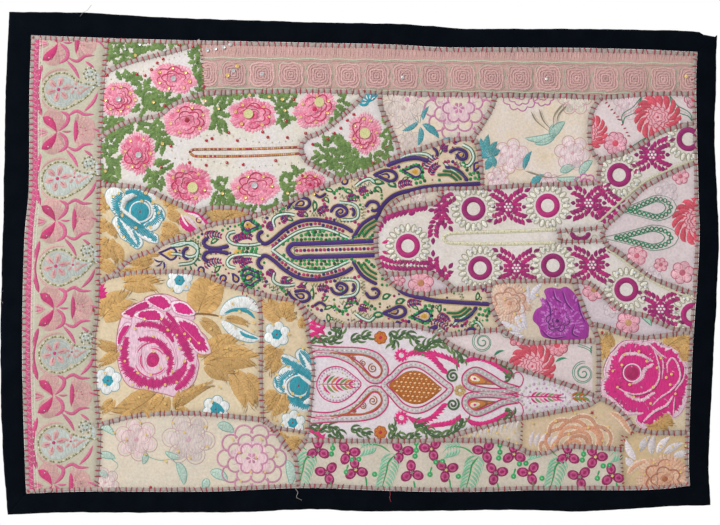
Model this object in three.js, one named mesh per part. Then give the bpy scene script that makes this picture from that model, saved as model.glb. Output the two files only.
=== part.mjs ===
// Patchwork wall hanging: an embroidered panel pieced from many patches, framed by
// four dark cotton strips, with a narrow ribbon couched round the panel's edge.
//
// Millimetres, +Z up, +X to the right as seen from the front, and the front faces -Y.
// The origin is the middle of the top edge.

import * as THREE from 'three';

// ---- Driving dimensions ----------------------------------------------------

const PANEL_THICKNESS = 2.4;    // pieced cloth, its ground cloth and the embroidery on it
const BORDER_THICKNESS = 2.0;   // cotton strip folded over on itself
const TAPE_THICKNESS = 1.0;
const TAPE_WIDTH = 6.5;
const TAPE_INSET = 1.2;         // bare cloth between the ribbon and the panel's edge
const GAP = 0.3;                // between one piece and the next

// Mean sizes, which turn a millimetre across the cloth into a fraction of it.
const PANEL_WIDTH = 1024;
const PANEL_HEIGHT = 690;
const BORDER_WIDTH = 34;

const PANEL_CELLS = { along: 44, across: 30 };
const BORDER_CELLS_ACROSS = 2;
const TAPE_CELLS_ACROSS = 1;

// The cloth hangs in slow, shallow waves, with one pressed crease where it is stored folded.
const WAVES = [
  { height: 1.7, lengthX: 610, lengthZ: 900, phase: 0.6 },
  { height: 1.1, lengthX: -370, lengthZ: 520, phase: 2.1 },
  { height: 0.7, lengthX: 240, lengthZ: -430, phase: 4.4 },
];
const CREASE = { x: 6, height: 1.4, halfWidth: 20 };

// ---- Outline ---------------------------------------------------------------
// Each edge runs through a few stations from corner to corner. The cloth is not square:
// its top edge falls to the right and its sides bow.

const CORNERS = {
  outer: {
    topLeft: { x: -540, z: 17 },
    topRight: { x: 548, z: -19 },
    bottomLeft: { x: -543, z: -757 },
    bottomRight: { x: 539, z: -742 },
  },
  inner: {
    topLeft: { x: -506, z: -19 },
    topRight: { x: 518, z: -45 },
    bottomLeft: { x: -514, z: -724 },
    bottomRight: { x: 507, z: -712 },
  },
};

const STATIONS = {
  outer: {
    top: [
      { x: -415, z: 15.4 },
      { x: -292, z: 8 },
      { x: -108, z: 1.9 },
      { x: 76, z: -2.1 },
      { x: 169, z: -9 },
      { x: 330, z: -9.2 },
      { x: 500, z: -12.5 },
    ],
    bottom: [
      { x: -446, z: -753 },
      { x: -200, z: -752.5 },
      { x: -77, z: -748.5 },
      { x: 30, z: -751.3 },
      { x: 240, z: -749 },
      { x: 340, z: -751 },
      { x: 476, z: -743.6 },
    ],
    left: [
      { x: -545.5, z: -110 },
      { x: -549, z: -294 },
      { x: -553, z: -479 },
      { x: -550.5, z: -640 },
    ],
    right: [
      { x: 547, z: -80 },
      { x: 545, z: -190 },
      { x: 551, z: -340 },
      { x: 543.4, z: -509 },
      { x: 536, z: -670 },
    ],
  },
  inner: {
    top: [
      { x: -415, z: -22.3 },
      { x: -262, z: -27 },
      { x: -108, z: -30 },
      { x: 46, z: -33 },
      { x: 138, z: -37.5 },
      { x: 330, z: -38.5 },
      { x: 430, z: -41 },
    ],
    bottom: [
      { x: -415, z: -720.5 },
      { x: -230, z: -720.5 },
      { x: -90, z: -715.5 },
      { x: 60, z: -720 },
      { x: 169, z: -721 },
      { x: 291, z: -718.3 },
      { x: 440, z: -718 },
    ],
    left: [
      { x: -509, z: -110 },
      { x: -510, z: -250 },
      { x: -517, z: -340 },
      { x: -519.5, z: -509 },
      { x: -516, z: -680 },
    ],
    right: [
      { x: 516, z: -110 },
      { x: 520, z: -263 },
      { x: 521, z: -350 },
      { x: 511, z: -509 },
      { x: 505.5, z: -660 },
    ],
  },
};

const SIDES = {
  top: { from: 'topLeft', to: 'topRight' },
  bottom: { from: 'bottomLeft', to: 'bottomRight' },
  left: { from: 'topLeft', to: 'bottomLeft' },
  right: { from: 'topRight', to: 'bottomRight' },
};

// A place on the cloth's face: its Vector2 holds x and z.
function onFace({ x, z }) {
  return new THREE.Vector2(x, z);
}

function edgeCurve(ring, side) {
  const { from, to } = SIDES[side];
  const rows = [CORNERS[ring][from], ...STATIONS[ring][side], CORNERS[ring][to]];
  return new THREE.SplineCurve(rows.map(onFace));
}

function ringCurves(ring) {
  return Object.fromEntries(Object.keys(SIDES).map((side) => [side, edgeCurve(ring, side)]));
}

const OUTER = ringCurves('outer');
const INNER = ringCurves('inner');

// ---- Hanging shape ---------------------------------------------------------

// Depth of the cloth's middle surface at a place on its face.
function hang(x, z) {
  const waves = WAVES.map(({ height, lengthX, lengthZ, phase }) => (
    height * Math.sin(2 * Math.PI * (x / lengthX + z / lengthZ) + phase)
  ));
  const crease = CREASE.height * Math.exp(-(((x - CREASE.x) / CREASE.halfWidth) ** 2));
  return waves.reduce((sum, wave) => sum + wave, -crease);
}

// A place on the panel, blended from its four edges. u runs to the right and v runs down.
function panelPlace(u, v) {
  const { topLeft, topRight, bottomLeft, bottomRight } = CORNERS.inner;
  return new THREE.Vector2()
    .addScaledVector(INNER.top.getPointAt(u), 1 - v)
    .addScaledVector(INNER.bottom.getPointAt(u), v)
    .addScaledVector(INNER.left.getPointAt(v), 1 - u)
    .addScaledVector(INNER.right.getPointAt(v), u)
    .addScaledVector(onFace(topLeft), -(1 - u) * (1 - v))
    .addScaledVector(onFace(topRight), -u * (1 - v))
    .addScaledVector(onFace(bottomLeft), -(1 - u) * v)
    .addScaledVector(onFace(bottomRight), -u * v);
}

// A place on a border strip. along runs from corner to corner, and across runs from the
// strip's outer edge to the panel. The mitred ends stand back from the next strip's.
function borderPlace(side, along, across) {
  const outer = OUTER[side].getPointAt(along);
  const inner = INNER[side].getPointAt(along);
  const place = outer.lerp(inner, across * (1 - GAP / 2 / BORDER_WIDTH));
  const direction = INNER[side].getPointAt(1).sub(INNER[side].getPointAt(0)).normalize();
  return place.addScaledVector(direction, (1 - 2 * along) * GAP * Math.SQRT1_2);
}

// ---- Solids ----------------------------------------------------------------

// A closed sheet of cloth over a grid. place(u, v) gives a point of the face, with u to the
// right and v down; proud is how far the sheet's middle stands in front of the cloth's own.
function sheetGeometry(place, cellsU, cellsV, thickness, proud = 0) {
  const row = cellsU + 1;
  const layer = row * (cellsV + 1);
  const positions = [];
  for (const half of [-thickness / 2, thickness / 2]) {
    for (let j = 0; j <= cellsV; j++) {
      for (let i = 0; i <= cellsU; i++) {
        const { x, y: z } = place(i / cellsU, j / cellsV);
        positions.push(x, hang(x, z) - proud + half, z);
      }
    }
  }

  const indices = [];
  const quad = (a, b, c, d) => indices.push(a, b, c, a, c, d);
  for (let j = 0; j < cellsV; j++) {
    for (let i = 0; i < cellsU; i++) {
      const a = j * row + i;
      quad(a, a + row, a + row + 1, a + 1);
      quad(layer + a, layer + a + 1, layer + a + row + 1, layer + a + row);
    }
  }
  const lastRow = cellsV * row;
  for (let i = 0; i < cellsU; i++) {
    quad(i, i + 1, layer + i + 1, layer + i);
    quad(lastRow + i + 1, lastRow + i, layer + lastRow + i, layer + lastRow + i + 1);
  }
  for (let j = 0; j < cellsV; j++) {
    const a = j * row;
    const b = a + cellsU;
    quad(a + row, a, layer + a, layer + a + row);
    quad(b, b + row, layer + b + row, layer + b);
  }

  const geometry = new THREE.BufferGeometry();
  geometry.setAttribute('position', new THREE.Float32BufferAttribute(positions, 3));
  geometry.setIndex(indices);
  geometry.computeVertexNormals();
  return geometry;
}

function piece(name, geometry, material) {
  const mesh = new THREE.Mesh(geometry, material);
  mesh.name = name;
  return mesh;
}

// ---- Pieces ----------------------------------------------------------------

const MATERIALS = {
  embroidery: new THREE.MeshStandardMaterial({ color: 0xc8a99b, roughness: 0.9, metalness: 0 }),
  darkCotton: new THREE.MeshStandardMaterial({ color: 0x0a1119, roughness: 0.95, metalness: 0 }),
  ribbon: new THREE.MeshStandardMaterial({ color: 0xa59b94, roughness: 0.45, metalness: 0 }),
};

// Maps 0..1 to a stretch that begins and ends at a fraction of an edge.
const within = (from, to) => (t) => THREE.MathUtils.lerp(from, to, t);

function patchworkPanel() {
  const u = within(GAP / 2 / PANEL_WIDTH, 1 - GAP / 2 / PANEL_WIDTH);
  const v = within(GAP / 2 / PANEL_HEIGHT, 1 - GAP / 2 / PANEL_HEIGHT);
  const place = (s, t) => panelPlace(u(s), v(t));
  const { along, across } = PANEL_CELLS;
  return piece(
    'patchwork_panel',
    sheetGeometry(place, along, across, PANEL_THICKNESS),
    MATERIALS.embroidery,
  );
}

function borderStrip(side) {
  const places = {
    top: (u, v) => borderPlace('top', u, v),
    bottom: (u, v) => borderPlace('bottom', u, 1 - v),
    left: (u, v) => borderPlace('left', v, u),
    right: (u, v) => borderPlace('right', v, 1 - u),
  };
  const flat = side === 'top' || side === 'bottom';
  return piece(
    `border_${side}`,
    sheetGeometry(
      places[side],
      flat ? PANEL_CELLS.along : BORDER_CELLS_ACROSS,
      flat ? BORDER_CELLS_ACROSS : PANEL_CELLS.across,
      BORDER_THICKNESS,
    ),
    MATERIALS.darkCotton,
  );
}

// The top and bottom ribbons run from side to side, and the other two butt against them.
function edgeTape(side) {
  const flat = side === 'top' || side === 'bottom';
  const near = TAPE_INSET;
  const far = TAPE_INSET + TAPE_WIDTH;
  const end = flat ? near : far + GAP;
  const acrossSize = flat ? PANEL_HEIGHT : PANEL_WIDTH;
  const alongSize = flat ? PANEL_WIDTH : PANEL_HEIGHT;
  const first = side === 'top' || side === 'left';
  const across = first
    ? within(near / acrossSize, far / acrossSize)
    : within(1 - far / acrossSize, 1 - near / acrossSize);
  const along = within(end / alongSize, 1 - end / alongSize);
  const place = flat
    ? (u, v) => panelPlace(along(u), across(v))
    : (u, v) => panelPlace(across(u), along(v));
  return piece(
    `edge_tape_${side}`,
    sheetGeometry(
      place,
      flat ? PANEL_CELLS.along : TAPE_CELLS_ACROSS,
      flat ? TAPE_CELLS_ACROSS : PANEL_CELLS.across,
      TAPE_THICKNESS,
      PANEL_THICKNESS / 2 + GAP + TAPE_THICKNESS / 2,
    ),
    MATERIALS.ribbon,
  );
}

const group = new THREE.Group();
group.add(patchworkPanel());
for (const side of Object.keys(SIDES)) {
  group.add(borderStrip(side));
  group.add(edgeTape(side));
}

export default group;
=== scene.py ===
"""Patchwork wall hanging: patches cut from embroidered cloth, sewn together under a couched
ribbon and framed in dark cotton.

Tables and functions work in millimetres on the cloth's face: a place is (x, z) in the part's
frame, and a rise is how far something stands in front of the cloth. on_cloth() turns both
into metres. The front faces -Y.
"""
import math
from collections import deque

import bmesh
import bpy
import numpy as np
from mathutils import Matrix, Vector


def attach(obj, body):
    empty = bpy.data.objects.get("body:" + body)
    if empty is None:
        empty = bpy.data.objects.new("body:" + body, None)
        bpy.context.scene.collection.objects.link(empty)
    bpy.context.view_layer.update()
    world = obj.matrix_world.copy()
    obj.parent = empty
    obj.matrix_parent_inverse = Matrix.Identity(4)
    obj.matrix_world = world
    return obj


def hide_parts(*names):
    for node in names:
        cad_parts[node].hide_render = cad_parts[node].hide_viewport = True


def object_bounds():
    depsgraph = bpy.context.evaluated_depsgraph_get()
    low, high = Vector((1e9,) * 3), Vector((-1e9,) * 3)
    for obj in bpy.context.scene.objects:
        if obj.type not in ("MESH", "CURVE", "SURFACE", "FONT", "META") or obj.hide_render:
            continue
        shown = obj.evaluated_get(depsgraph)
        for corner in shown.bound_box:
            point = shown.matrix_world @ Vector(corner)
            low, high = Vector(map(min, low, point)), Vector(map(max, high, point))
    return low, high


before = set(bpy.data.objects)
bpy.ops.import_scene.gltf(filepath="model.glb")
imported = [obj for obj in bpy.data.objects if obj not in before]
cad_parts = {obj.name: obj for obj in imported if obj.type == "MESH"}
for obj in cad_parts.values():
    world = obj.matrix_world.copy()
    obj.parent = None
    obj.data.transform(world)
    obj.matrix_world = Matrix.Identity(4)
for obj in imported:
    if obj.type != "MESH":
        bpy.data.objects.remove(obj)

CAD_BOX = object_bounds()
RNG = np.random.default_rng(7)

# ---- Sizes, in millimetres ---------------------------------------------------

PANEL_THICKNESS = 2.4
BORDER_THICKNESS = 2.0
BACKING_THICKNESS = 0.8
PATCH_DEPTH = 0.9           # patches lie this far in front of the cloth's middle
SEAM_RIBBON_WIDTH = 7.6
EDGE_RIBBON_WIDTH = 6.4
STITCH_PITCH = 8.8          # between the bars that hold the ribbon
STITCH_WIDTH = 2.0
LOBES = 4                   # down each side of a cut leaf
GROUND_CELL = 3.5
MAP_CELL = 2.0              # of the map of patches and the relief
MAP_LOW = np.array([-560.0, -780.0])
MAP_HIGH = np.array([560.0, 30.0])
SEAM_REACH = 30             # how far from a seam the map knows the distance to it
SEAM_WALL = 1.5             # half the width of the wall that a seam makes between patches
SEAM_VALLEY = 8             # how far from a seam a patch comes up to its full height
PATCH_RISE = 1.1            # that height
PATCH_HILLS = {"height": 0.45, "size": 70, "seed": 3}
PATCH_PUCKERS = {"height": 0.12, "size": 22, "seed": 4}

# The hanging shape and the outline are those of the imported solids.
WAVES = [
    {"height": 1.7, "length_x": 610, "length_z": 900, "phase": 0.6},
    {"height": 1.1, "length_x": -370, "length_z": 520, "phase": 2.1},
    {"height": 0.7, "length_x": 240, "length_z": -430, "phase": 4.4},
]
CREASE = {"x": 6, "height": 1.4, "half_width": 20}

OUTER_CORNERS = {
    "top_left": (-540, 17), "top_right": (548, -19),
    "bottom_left": (-543, -757), "bottom_right": (539, -742),
}
INNER_CORNERS = {
    "top_left": (-506, -19), "top_right": (518, -45),
    "bottom_left": (-514, -724), "bottom_right": (507, -712),
}
OUTER_STATIONS = {
    "top": [(-415, 15.4), (-292, 8), (-108, 1.9), (76, -2.1), (169, -9), (330, -9.2), (500, -12.5)],
    "bottom": [(-446, -753), (-200, -752.5), (-77, -748.5), (30, -751.3), (240, -749), (340, -751),
               (476, -743.6)],
    "left": [(-545.5, -110), (-549, -294), (-553, -479), (-550.5, -640)],
    "right": [(547, -80), (545, -190), (551, -340), (543.4, -509), (536, -670)],
}
INNER_STATIONS = {
    "top": [(-415, -22.3), (-262, -27), (-108, -30), (46, -33), (138, -37.5), (330, -38.5), (430, -41)],
    "bottom": [(-415, -720.5), (-230, -720.5), (-90, -715.5), (60, -720), (169, -721), (291, -718.3),
               (440, -718)],
    "left": [(-509, -110), (-510, -250), (-517, -340), (-519.5, -509), (-516, -680)],
    "right": [(516, -110), (520, -263), (521, -350), (511, -509), (505.5, -660)],
}
SIDE_ENDS = {
    "top": ("top_left", "top_right"), "bottom": ("bottom_left", "bottom_right"),
    "left": ("top_left", "bottom_left"), "right": ("top_right", "bottom_right"),
}


# ---- Curves on the face ------------------------------------------------------

def distances_along(line):
    """How far along a line each of its points lies."""
    return np.concatenate([[0], np.cumsum(np.hypot(*np.diff(line, axis=0).T))])


def resampled(points, step):
    """A polyline's points, moved to even steps along it."""
    points = np.asarray(points, float)
    along = distances_along(points)
    count = max(2, round(along[-1] / step) + 1)
    even = np.linspace(0, along[-1], count)
    return np.stack([np.interp(even, along, points[:, axis]) for axis in (0, 1)], axis=1)


def curve(points, step=2.5, closed=False):
    """A smooth line through a few points (Catmull-Rom), in even steps."""
    points = np.asarray(points, float)
    if closed:
        points = np.concatenate([points[-1:], points, points[:2]])
    else:
        points = np.concatenate([2 * points[:1] - points[1:2], points, 2 * points[-1:] - points[-2:-1]])
    t = np.linspace(0, 1, 12, endpoint=False)[:, None]
    spans = []
    for a, b, c, d in zip(points, points[1:], points[2:], points[3:]):
        spans.append(b + 0.5 * t * (c - a + t * (2 * a - 5 * b + 4 * c - d + t * (3 * (b - c) + d - a))))
    spans.append(points[-2:-1])
    return resampled(np.concatenate(spans), step)


def arc(centre, radius, start, end, step=2.5, squash=1.0):
    """Part of a circle, or of an ellipse squashed in z. Angles in degrees from +x."""
    count = max(3, round(abs(math.radians(end - start)) * radius / step) + 1)
    angles = np.radians(np.linspace(start, end, count))
    return np.asarray(centre) + radius * np.stack([np.cos(angles), squash * np.sin(angles)], axis=1)


def bowed(start, end, bend, count=6):
    """A line from start to end that bows sideways by bend times its length."""
    start, end = np.asarray(start, float), np.asarray(end, float)
    t = np.linspace(0, 1, count)[:, None]
    side = np.array([-(end - start)[1], (end - start)[0]])
    return start + t * (end - start) + 4 * bend * t * (1 - t) * side


def spiral(centre, radius, turns, start=0.0, inner=0.12, step=2.0):
    """A spiral from its outer end inwards. A negative number of turns winds clockwise."""
    count = max(8, round(abs(turns) * math.pi * radius * (1 + inner) / step))
    t = np.linspace(0, 1, count)
    angles = math.radians(start) + 2 * math.pi * turns * t
    size = radius * (1 - (1 - inner) * t)
    return np.asarray(centre) + size[:, None] * np.stack([np.cos(angles), np.sin(angles)], axis=1)


def turned(points, angle, centre):
    """Points drawn about (0, 0), turned by degrees and moved to a centre."""
    c, s = math.cos(math.radians(angle)), math.sin(math.radians(angle))
    return np.asarray(points, float) @ np.array([[c, s], [-s, c]]) + np.asarray(centre)


def across(line):
    """Unit vectors across a line, to its left."""
    ahead = np.gradient(np.asarray(line, float), axis=0)
    ahead /= np.maximum(np.hypot(*ahead.T), 1e-6)[:, None]
    return np.stack([-ahead[:, 1], ahead[:, 0]], axis=1)


def bearing_to(place, other):
    """The bearing in degrees, from one place, of another."""
    run = np.subtract(other, place)
    return math.degrees(math.atan2(run[1], run[0]))


def polar(centre, radius, angle):
    """The place at a distance and a bearing in degrees from another."""
    return np.asarray(centre, float) + radius * np.array(
        [math.cos(math.radians(angle)), math.sin(math.radians(angle))])


# ---- The cloth's outline and hanging shape -----------------------------------

def edge(corners, stations, side, step=2.5):
    first, last = SIDE_ENDS[side]
    return curve([corners[first], *stations[side], corners[last]], step)


def at_fraction(line, share):
    """The place at a share of a line's length."""
    along = distances_along(line)
    return np.stack([np.interp(np.asarray(share) * along[-1], along, line[:, axis]) for axis in (0, 1)],
                    axis=-1)


OUTER = {side: edge(OUTER_CORNERS, OUTER_STATIONS, side) for side in SIDE_ENDS}
INNER = {side: edge(INNER_CORNERS, INNER_STATIONS, side) for side in SIDE_ENDS}


def hang(x, z):
    """Depth of the cloth's middle surface."""
    y = -CREASE["height"] * np.exp(-(((x - CREASE["x"]) / CREASE["half_width"]) ** 2))
    for wave in WAVES:
        y = y + wave["height"] * np.sin(
            2 * math.pi * (x / wave["length_x"] + z / wave["length_z"]) + wave["phase"])
    return y


# ---- Seams, the map of patches and the relief --------------------------------

# Every seam between patches, as places that it passes through. Seams that meet overrun a little.
SEAMS = {
    "column": [(-388, -12), (-396, -104), (-401, -227), (-403, -426), (-409, -495), (-405, -580),
               (-400, -641), (-406, -728)],
    "leaf_corner": [(-396, -78), (-360, -62), (-300, -47), (-262, -36), (-242, -26)],
    "band_end": [(-247, -18), (-243, -60), (-240, -110)],
    "rose_strip": [(-404, -179), (-380, -163), (-350, -150), (-310, -143), (-290, -128), (-262, -116),
                   (-236, -108)],
    "band": [(-246, -109), (-110, -105), (23, -107), (110, -110), (184, -111), (300, -112), (368, -115),
             (440, -110), (524, -109)],
    "tulip_upper": [(9, -103), (0, -117), (-18, -135), (-35, -150), (-60, -168), (-82, -178), (-91, -192),
                    (-86, -208), (-75, -218), (-50, -232), (-28, -243)],
    "tulip_side": [(31, -104), (31, -125), (38, -145), (48, -166), (56, -185), (62, -206)],
    "peony_side": [(207, -107), (203, -128), (190, -152), (180, -168), (168, -180)],
    "meadow_side": [(170, -178), (180, -186), (185, -215), (188, -254)],
    "dahlia_side": [(371, -112), (357, -135), (353, -160), (354, -190), (361, -205), (370, -213),
                    (367, -232), (367, -250)],
    "dahlia_foot": [(364, -212), (400, -202), (430, -188), (455, -172), (480, -162), (526, -152)],
    "ring_top": [(23, -344), (25, -320), (33, -298), (52, -277), (82, -262), (122, -255), (184, -254),
                 (250, -250), (372, -246)],
    "ring_bottom": [(23, -340), (28, -370), (45, -398), (70, -412), (100, -417), (132, -412), (196, -404),
                    (215, -398), (300, -396), (340, -398), (362, -407), (384, -430), (410, -444),
                    (440, -451), (466, -464), (490, -472), (522, -472)],
    "ring_insert_top": [(36, -294), (60, -286), (92, -280), (118, -275), (126, -255)],
    "ring_insert_bottom": [(36, -386), (62, -386), (100, -383), (124, -393), (146, -411)],
    "neck_upper": [(526, -210), (490, -225), (460, -240), (432, -257), (415, -275), (395, -297),
                   (378, -312), (371, -328)],
    "neck_lower": [(371, -325), (380, -342), (396, -352), (420, -371), (446, -391), (480, -405),
                   (524, -420)],
    "yoke_top": [(-405, -400), (-382, -388), (-369, -377), (-351, -362), (-318, -350), (-303, -339),
                 (-262, -325), (-228, -310), (-192, -304), (-154, -294), (-120, -280), (-83, -263),
                 (-30, -241), (0, -232), (35, -217), (60, -204), (106, -190), (140, -180), (176, -178)],
    "yoke_bottom": [(-392, -391), (-342, -384), (-277, -383), (-242, -387), (-206, -402), (-154, -417),
                    (-100, -429), (-83, -443), (-62, -460), (-30, -465), (70, -465), (106, -472),
                    (132, -479), (176, -475), (214, -473), (240, -485), (262, -492), (300, -491),
                    (360, -489)],
    "yoke_end": [(197, -401), (200, -430), (210, -455), (222, -476)],
    "blue_rose_top": [(-406, -248), (-350, -252), (-320, -260), (-300, -270), (-270, -283), (-245, -292),
                      (-226, -312)],
    "wedge": [(-250, -290), (-225, -284), (-185, -286), (-160, -297)],
    "great_rose_foot": [(-408, -620), (-360, -607), (-330, -602), (-290, -600), (-240, -601),
                        (-190, -606), (-145, -611)],
    "great_rose_side": [(-155, -414), (-152, -480), (-153, -550), (-150, -614)],
    "flower_strip_side": [(-97, -427), (-85, -450), (-80, -480), (-73, -530), (-76, -580), (-80, -620),
                          (-84, -645)],
    "flower_strip_foot": [(-152, -611), (-130, -622), (-105, -626), (-80, -631)],
    "pale_side": [(-146, -611), (-130, -628), (-115, -650), (-100, -669), (-97, -690), (-95, -726)],
    "wedge_foot": [(-104, -667), (-84, -642)],
    "ogee_foot": [(-88, -642), (30, -643), (122, -641), (150, -632), (212, -615), (250, -607),
                  (300, -598), (347, -589), (370, -576)],
    "orchid_top": [(118, -641), (200, -643), (240, -652), (262, -662), (290, -660), (310, -652),
                   (350, -652), (404, -656)],
    "orchid_end": [(404, -632), (400, -655), (403, -690), (405, -724)],
    "ogee_top": [(120, -476), (135, -492), (158, -505), (190, -515), (219, -523), (276, -543),
                 (328, -560), (370, -578)],
    "spiral_side": [(356, -463), (366, -490), (367, -540), (366, -580)],
    "violet_side": [(328, -396), (340, -430), (350, -455), (357, -466)],
    "pink_foot": [(352, -463), (375, -467), (400, -477), (430, -484), (460, -482), (524, -473)],
    "second_rose_foot": [(366, -576), (385, -585), (400, -597), (413, -612), (425, -625), (460, -630),
                         (514, -630)],
    "peach_side": [(249, -605), (247, -658)],
    "peach_end": [(427, -625), (408, -638), (402, -658)],
    "slit_end": [(306, -318), (307, -328), (306, -338)],
    "slit_top": [(303, -321), (340, -318), (378, -314)],
    "slit_bottom": [(304, -336), (340, -336), (376, -335)],
}

# Each patch is found by a place inside it.
PATCHES = {
    "column": (-460, -400),
    "leaf_corner": (-370, -40),
    "rose_strip": (-350, -110),
    "band": (100, -70),
    "rose_yoke": (-150, -180),
    "tulip_yoke": (0, -180),
    "peony": (100, -150),
    "meadow": (270, -180),
    "dahlia": (430, -150),
    "ring_yoke": (160, -340),
    "ring_insert_top": (80, -270),
    "ring_insert_bottom": (90, -400),
    "neck": (450, -320),
    "paisley_yoke": (-100, -400),
    "blue_rose": (-340, -300),
    "wedge": (-212, -295),
    "great_rose": (-280, -500),
    "flower_strip": (-120, -540),
    "wedge_foot": (-105, -645),
    "pale_peony": (-250, -660),
    "ogee": (100, -560),
    "orchid": (100, -690),
    "gold_sliver": (200, -632),
    "spiral": (200, -495),
    "violet": (270, -440),
    "pink_strip": (400, -462),
    "second_rose": (440, -550),
    "peach": (320, -625),
    "ochre": (450, -670),
}


def paint_distance(distance, line):
    """Lowers the map's distances to what they are from a line."""
    for start, end in zip(line[:-1], line[1:]):
        low = np.floor((np.minimum(start, end) - SEAM_REACH - MAP_LOW) / MAP_CELL).astype(int)
        high = np.ceil((np.maximum(start, end) + SEAM_REACH - MAP_LOW) / MAP_CELL).astype(int)
        low = np.clip(low, 0, np.array(distance.shape) - 1)
        high = np.clip(high, 1, np.array(distance.shape))
        window = np.s_[low[0]:high[0], low[1]:high[1]]
        places = MAP_PLACES[window] - start
        run = end - start
        share = np.clip(places @ run / (run @ run), 0, 1)
        far = np.hypot(*np.moveaxis(places - share[..., None] * run, -1, 0))
        distance[window] = np.minimum(distance[window], far)


def spread_labels(labels, queue, free):
    """Floods labels outwards over the cells that free allows."""
    wide, high = labels.shape
    while queue:
        i, j = queue.popleft()
        for a, b in ((i + 1, j), (i - 1, j), (i, j + 1), (i, j - 1)):
            if 0 <= a < wide and 0 <= b < high and free[a, b] and labels[a, b] < 0:
                labels[a, b] = labels[i, j]
                queue.append((a, b))


def map_cell(place):
    return tuple(int(n) for n in (np.asarray(place) - MAP_LOW) // MAP_CELL)


def patch_map(distance, inside):
    """Which patch each cell belongs to: seams are walls, then each wall goes to its neighbours."""
    labels = np.full(distance.shape, -1)
    queue = deque()
    for number, place in enumerate(PATCHES.values()):
        labels[map_cell(place)] = number
        queue.append(map_cell(place))
    spread_labels(labels, queue, inside & (distance > SEAM_WALL))
    queue = deque(tuple(int(n) for n in cell) for cell in np.argwhere(labels >= 0))
    spread_labels(labels, queue, inside)
    return labels


def inside_panel():
    """The map's cells inside the panel's four edges."""
    x, z = np.moveaxis(MAP_PLACES, -1, 0)
    top, bottom, left, right = (INNER[side] for side in ("top", "bottom", "left", "right"))
    return ((z < np.interp(x, top[:, 0], top[:, 1])) & (z > np.interp(x, bottom[:, 0], bottom[:, 1]))
            & (x > np.interp(-z, -left[:, 1], left[:, 0])) & (x < np.interp(-z, -right[:, 1], right[:, 0])))


def soft_noise(x, z, size, seed):
    """Smooth hills and hollows from a few crossed waves, between about -1 and 1."""
    rng = np.random.default_rng(seed)
    total = np.zeros(np.shape(x))
    for _ in range(7):
        angle, phase = rng.uniform(0, 2 * math.pi, 2)
        length = size * rng.uniform(0.6, 1.6)
        total += np.sin(2 * math.pi * (x * math.cos(angle) + z * math.sin(angle)) / length + phase)
    return total / 3.5


def relief_map(distance):
    """How far the patches stand forward: drawn in at the seams, full and uneven between them."""
    x, z = np.moveaxis(MAP_PLACES, -1, 0)
    full = 1 - np.exp(-((distance / SEAM_VALLEY) ** 2))
    hills, puckers = (part["height"] * soft_noise(x, z, part["size"], part["seed"])
                      for part in (PATCH_HILLS, PATCH_PUCKERS))
    return full * (PATCH_RISE + hills) + puckers


MAP_SHAPE = np.ceil((MAP_HIGH - MAP_LOW) / MAP_CELL).astype(int)
MAP_PLACES = MAP_LOW + (np.moveaxis(np.indices(MAP_SHAPE), 0, -1) + 0.5) * MAP_CELL
SEAM_LINES = {name: curve(places, 1.5) for name, places in SEAMS.items()}

SEAM_DISTANCE = np.full(MAP_SHAPE, 99.0)
for seam_line in [*SEAM_LINES.values(), *INNER.values()]:
    paint_distance(SEAM_DISTANCE, seam_line)
PATCH_MAP = patch_map(SEAM_DISTANCE, inside_panel())
RELIEF = relief_map(SEAM_DISTANCE)


def sampled(field, x, z):
    """A map's value between the middles of its cells."""
    i = np.clip((x - MAP_LOW[0]) / MAP_CELL - 0.5, 0, MAP_SHAPE[0] - 1.001)
    j = np.clip((z - MAP_LOW[1]) / MAP_CELL - 0.5, 0, MAP_SHAPE[1] - 1.001)
    a, b = i.astype(int), j.astype(int)
    u, v = i - a, j - b
    return ((1 - u) * (1 - v) * field[a, b] + u * (1 - v) * field[a + 1, b]
            + (1 - u) * v * field[a, b + 1] + u * v * field[a + 1, b + 1])


def patch_at(x, z):
    """The number of the patch at each place, or -1 off the panel."""
    i = np.clip(((x - MAP_LOW[0]) // MAP_CELL).astype(int), 0, MAP_SHAPE[0] - 1)
    j = np.clip(((z - MAP_LOW[1]) // MAP_CELL).astype(int), 0, MAP_SHAPE[1] - 1)
    return PATCH_MAP[i, j]


def within_panel(places, margin=1.0):
    """Places, those beyond the panel's edges moved to just inside them."""
    x, z = places.T
    top, bottom, left, right = (INNER[side] for side in ("top", "bottom", "left", "right"))
    z = np.clip(z, np.interp(x, bottom[:, 0], bottom[:, 1]) + margin,
                np.interp(x, top[:, 0], top[:, 1]) - margin)
    x = np.clip(x, np.interp(-z, -left[:, 1], left[:, 0]) + margin,
                np.interp(-z, -right[:, 1], right[:, 0]) - margin)
    return np.stack([x, z], axis=1)


def on_cloth(x, z, rise):
    """Metres of places on the patches, raised towards the front."""
    y = hang(x, z) - PATCH_DEPTH - sampled(RELIEF, x, z) - rise
    return np.stack([x, y, z], axis=-1) / 1000


# ---- Colours -----------------------------------------------------------------

def tint(red, green, blue):
    """A colour given as 0 to 255 screen values, as linear light."""
    shares = np.array([red, green, blue]) / 255
    return np.where(shares <= 0.04045, shares / 12.92, ((shares + 0.055) / 1.055) ** 2.4)


def mixed(first, second, share):
    return (1 - share) * np.asarray(first) + share * np.asarray(second)


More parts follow.
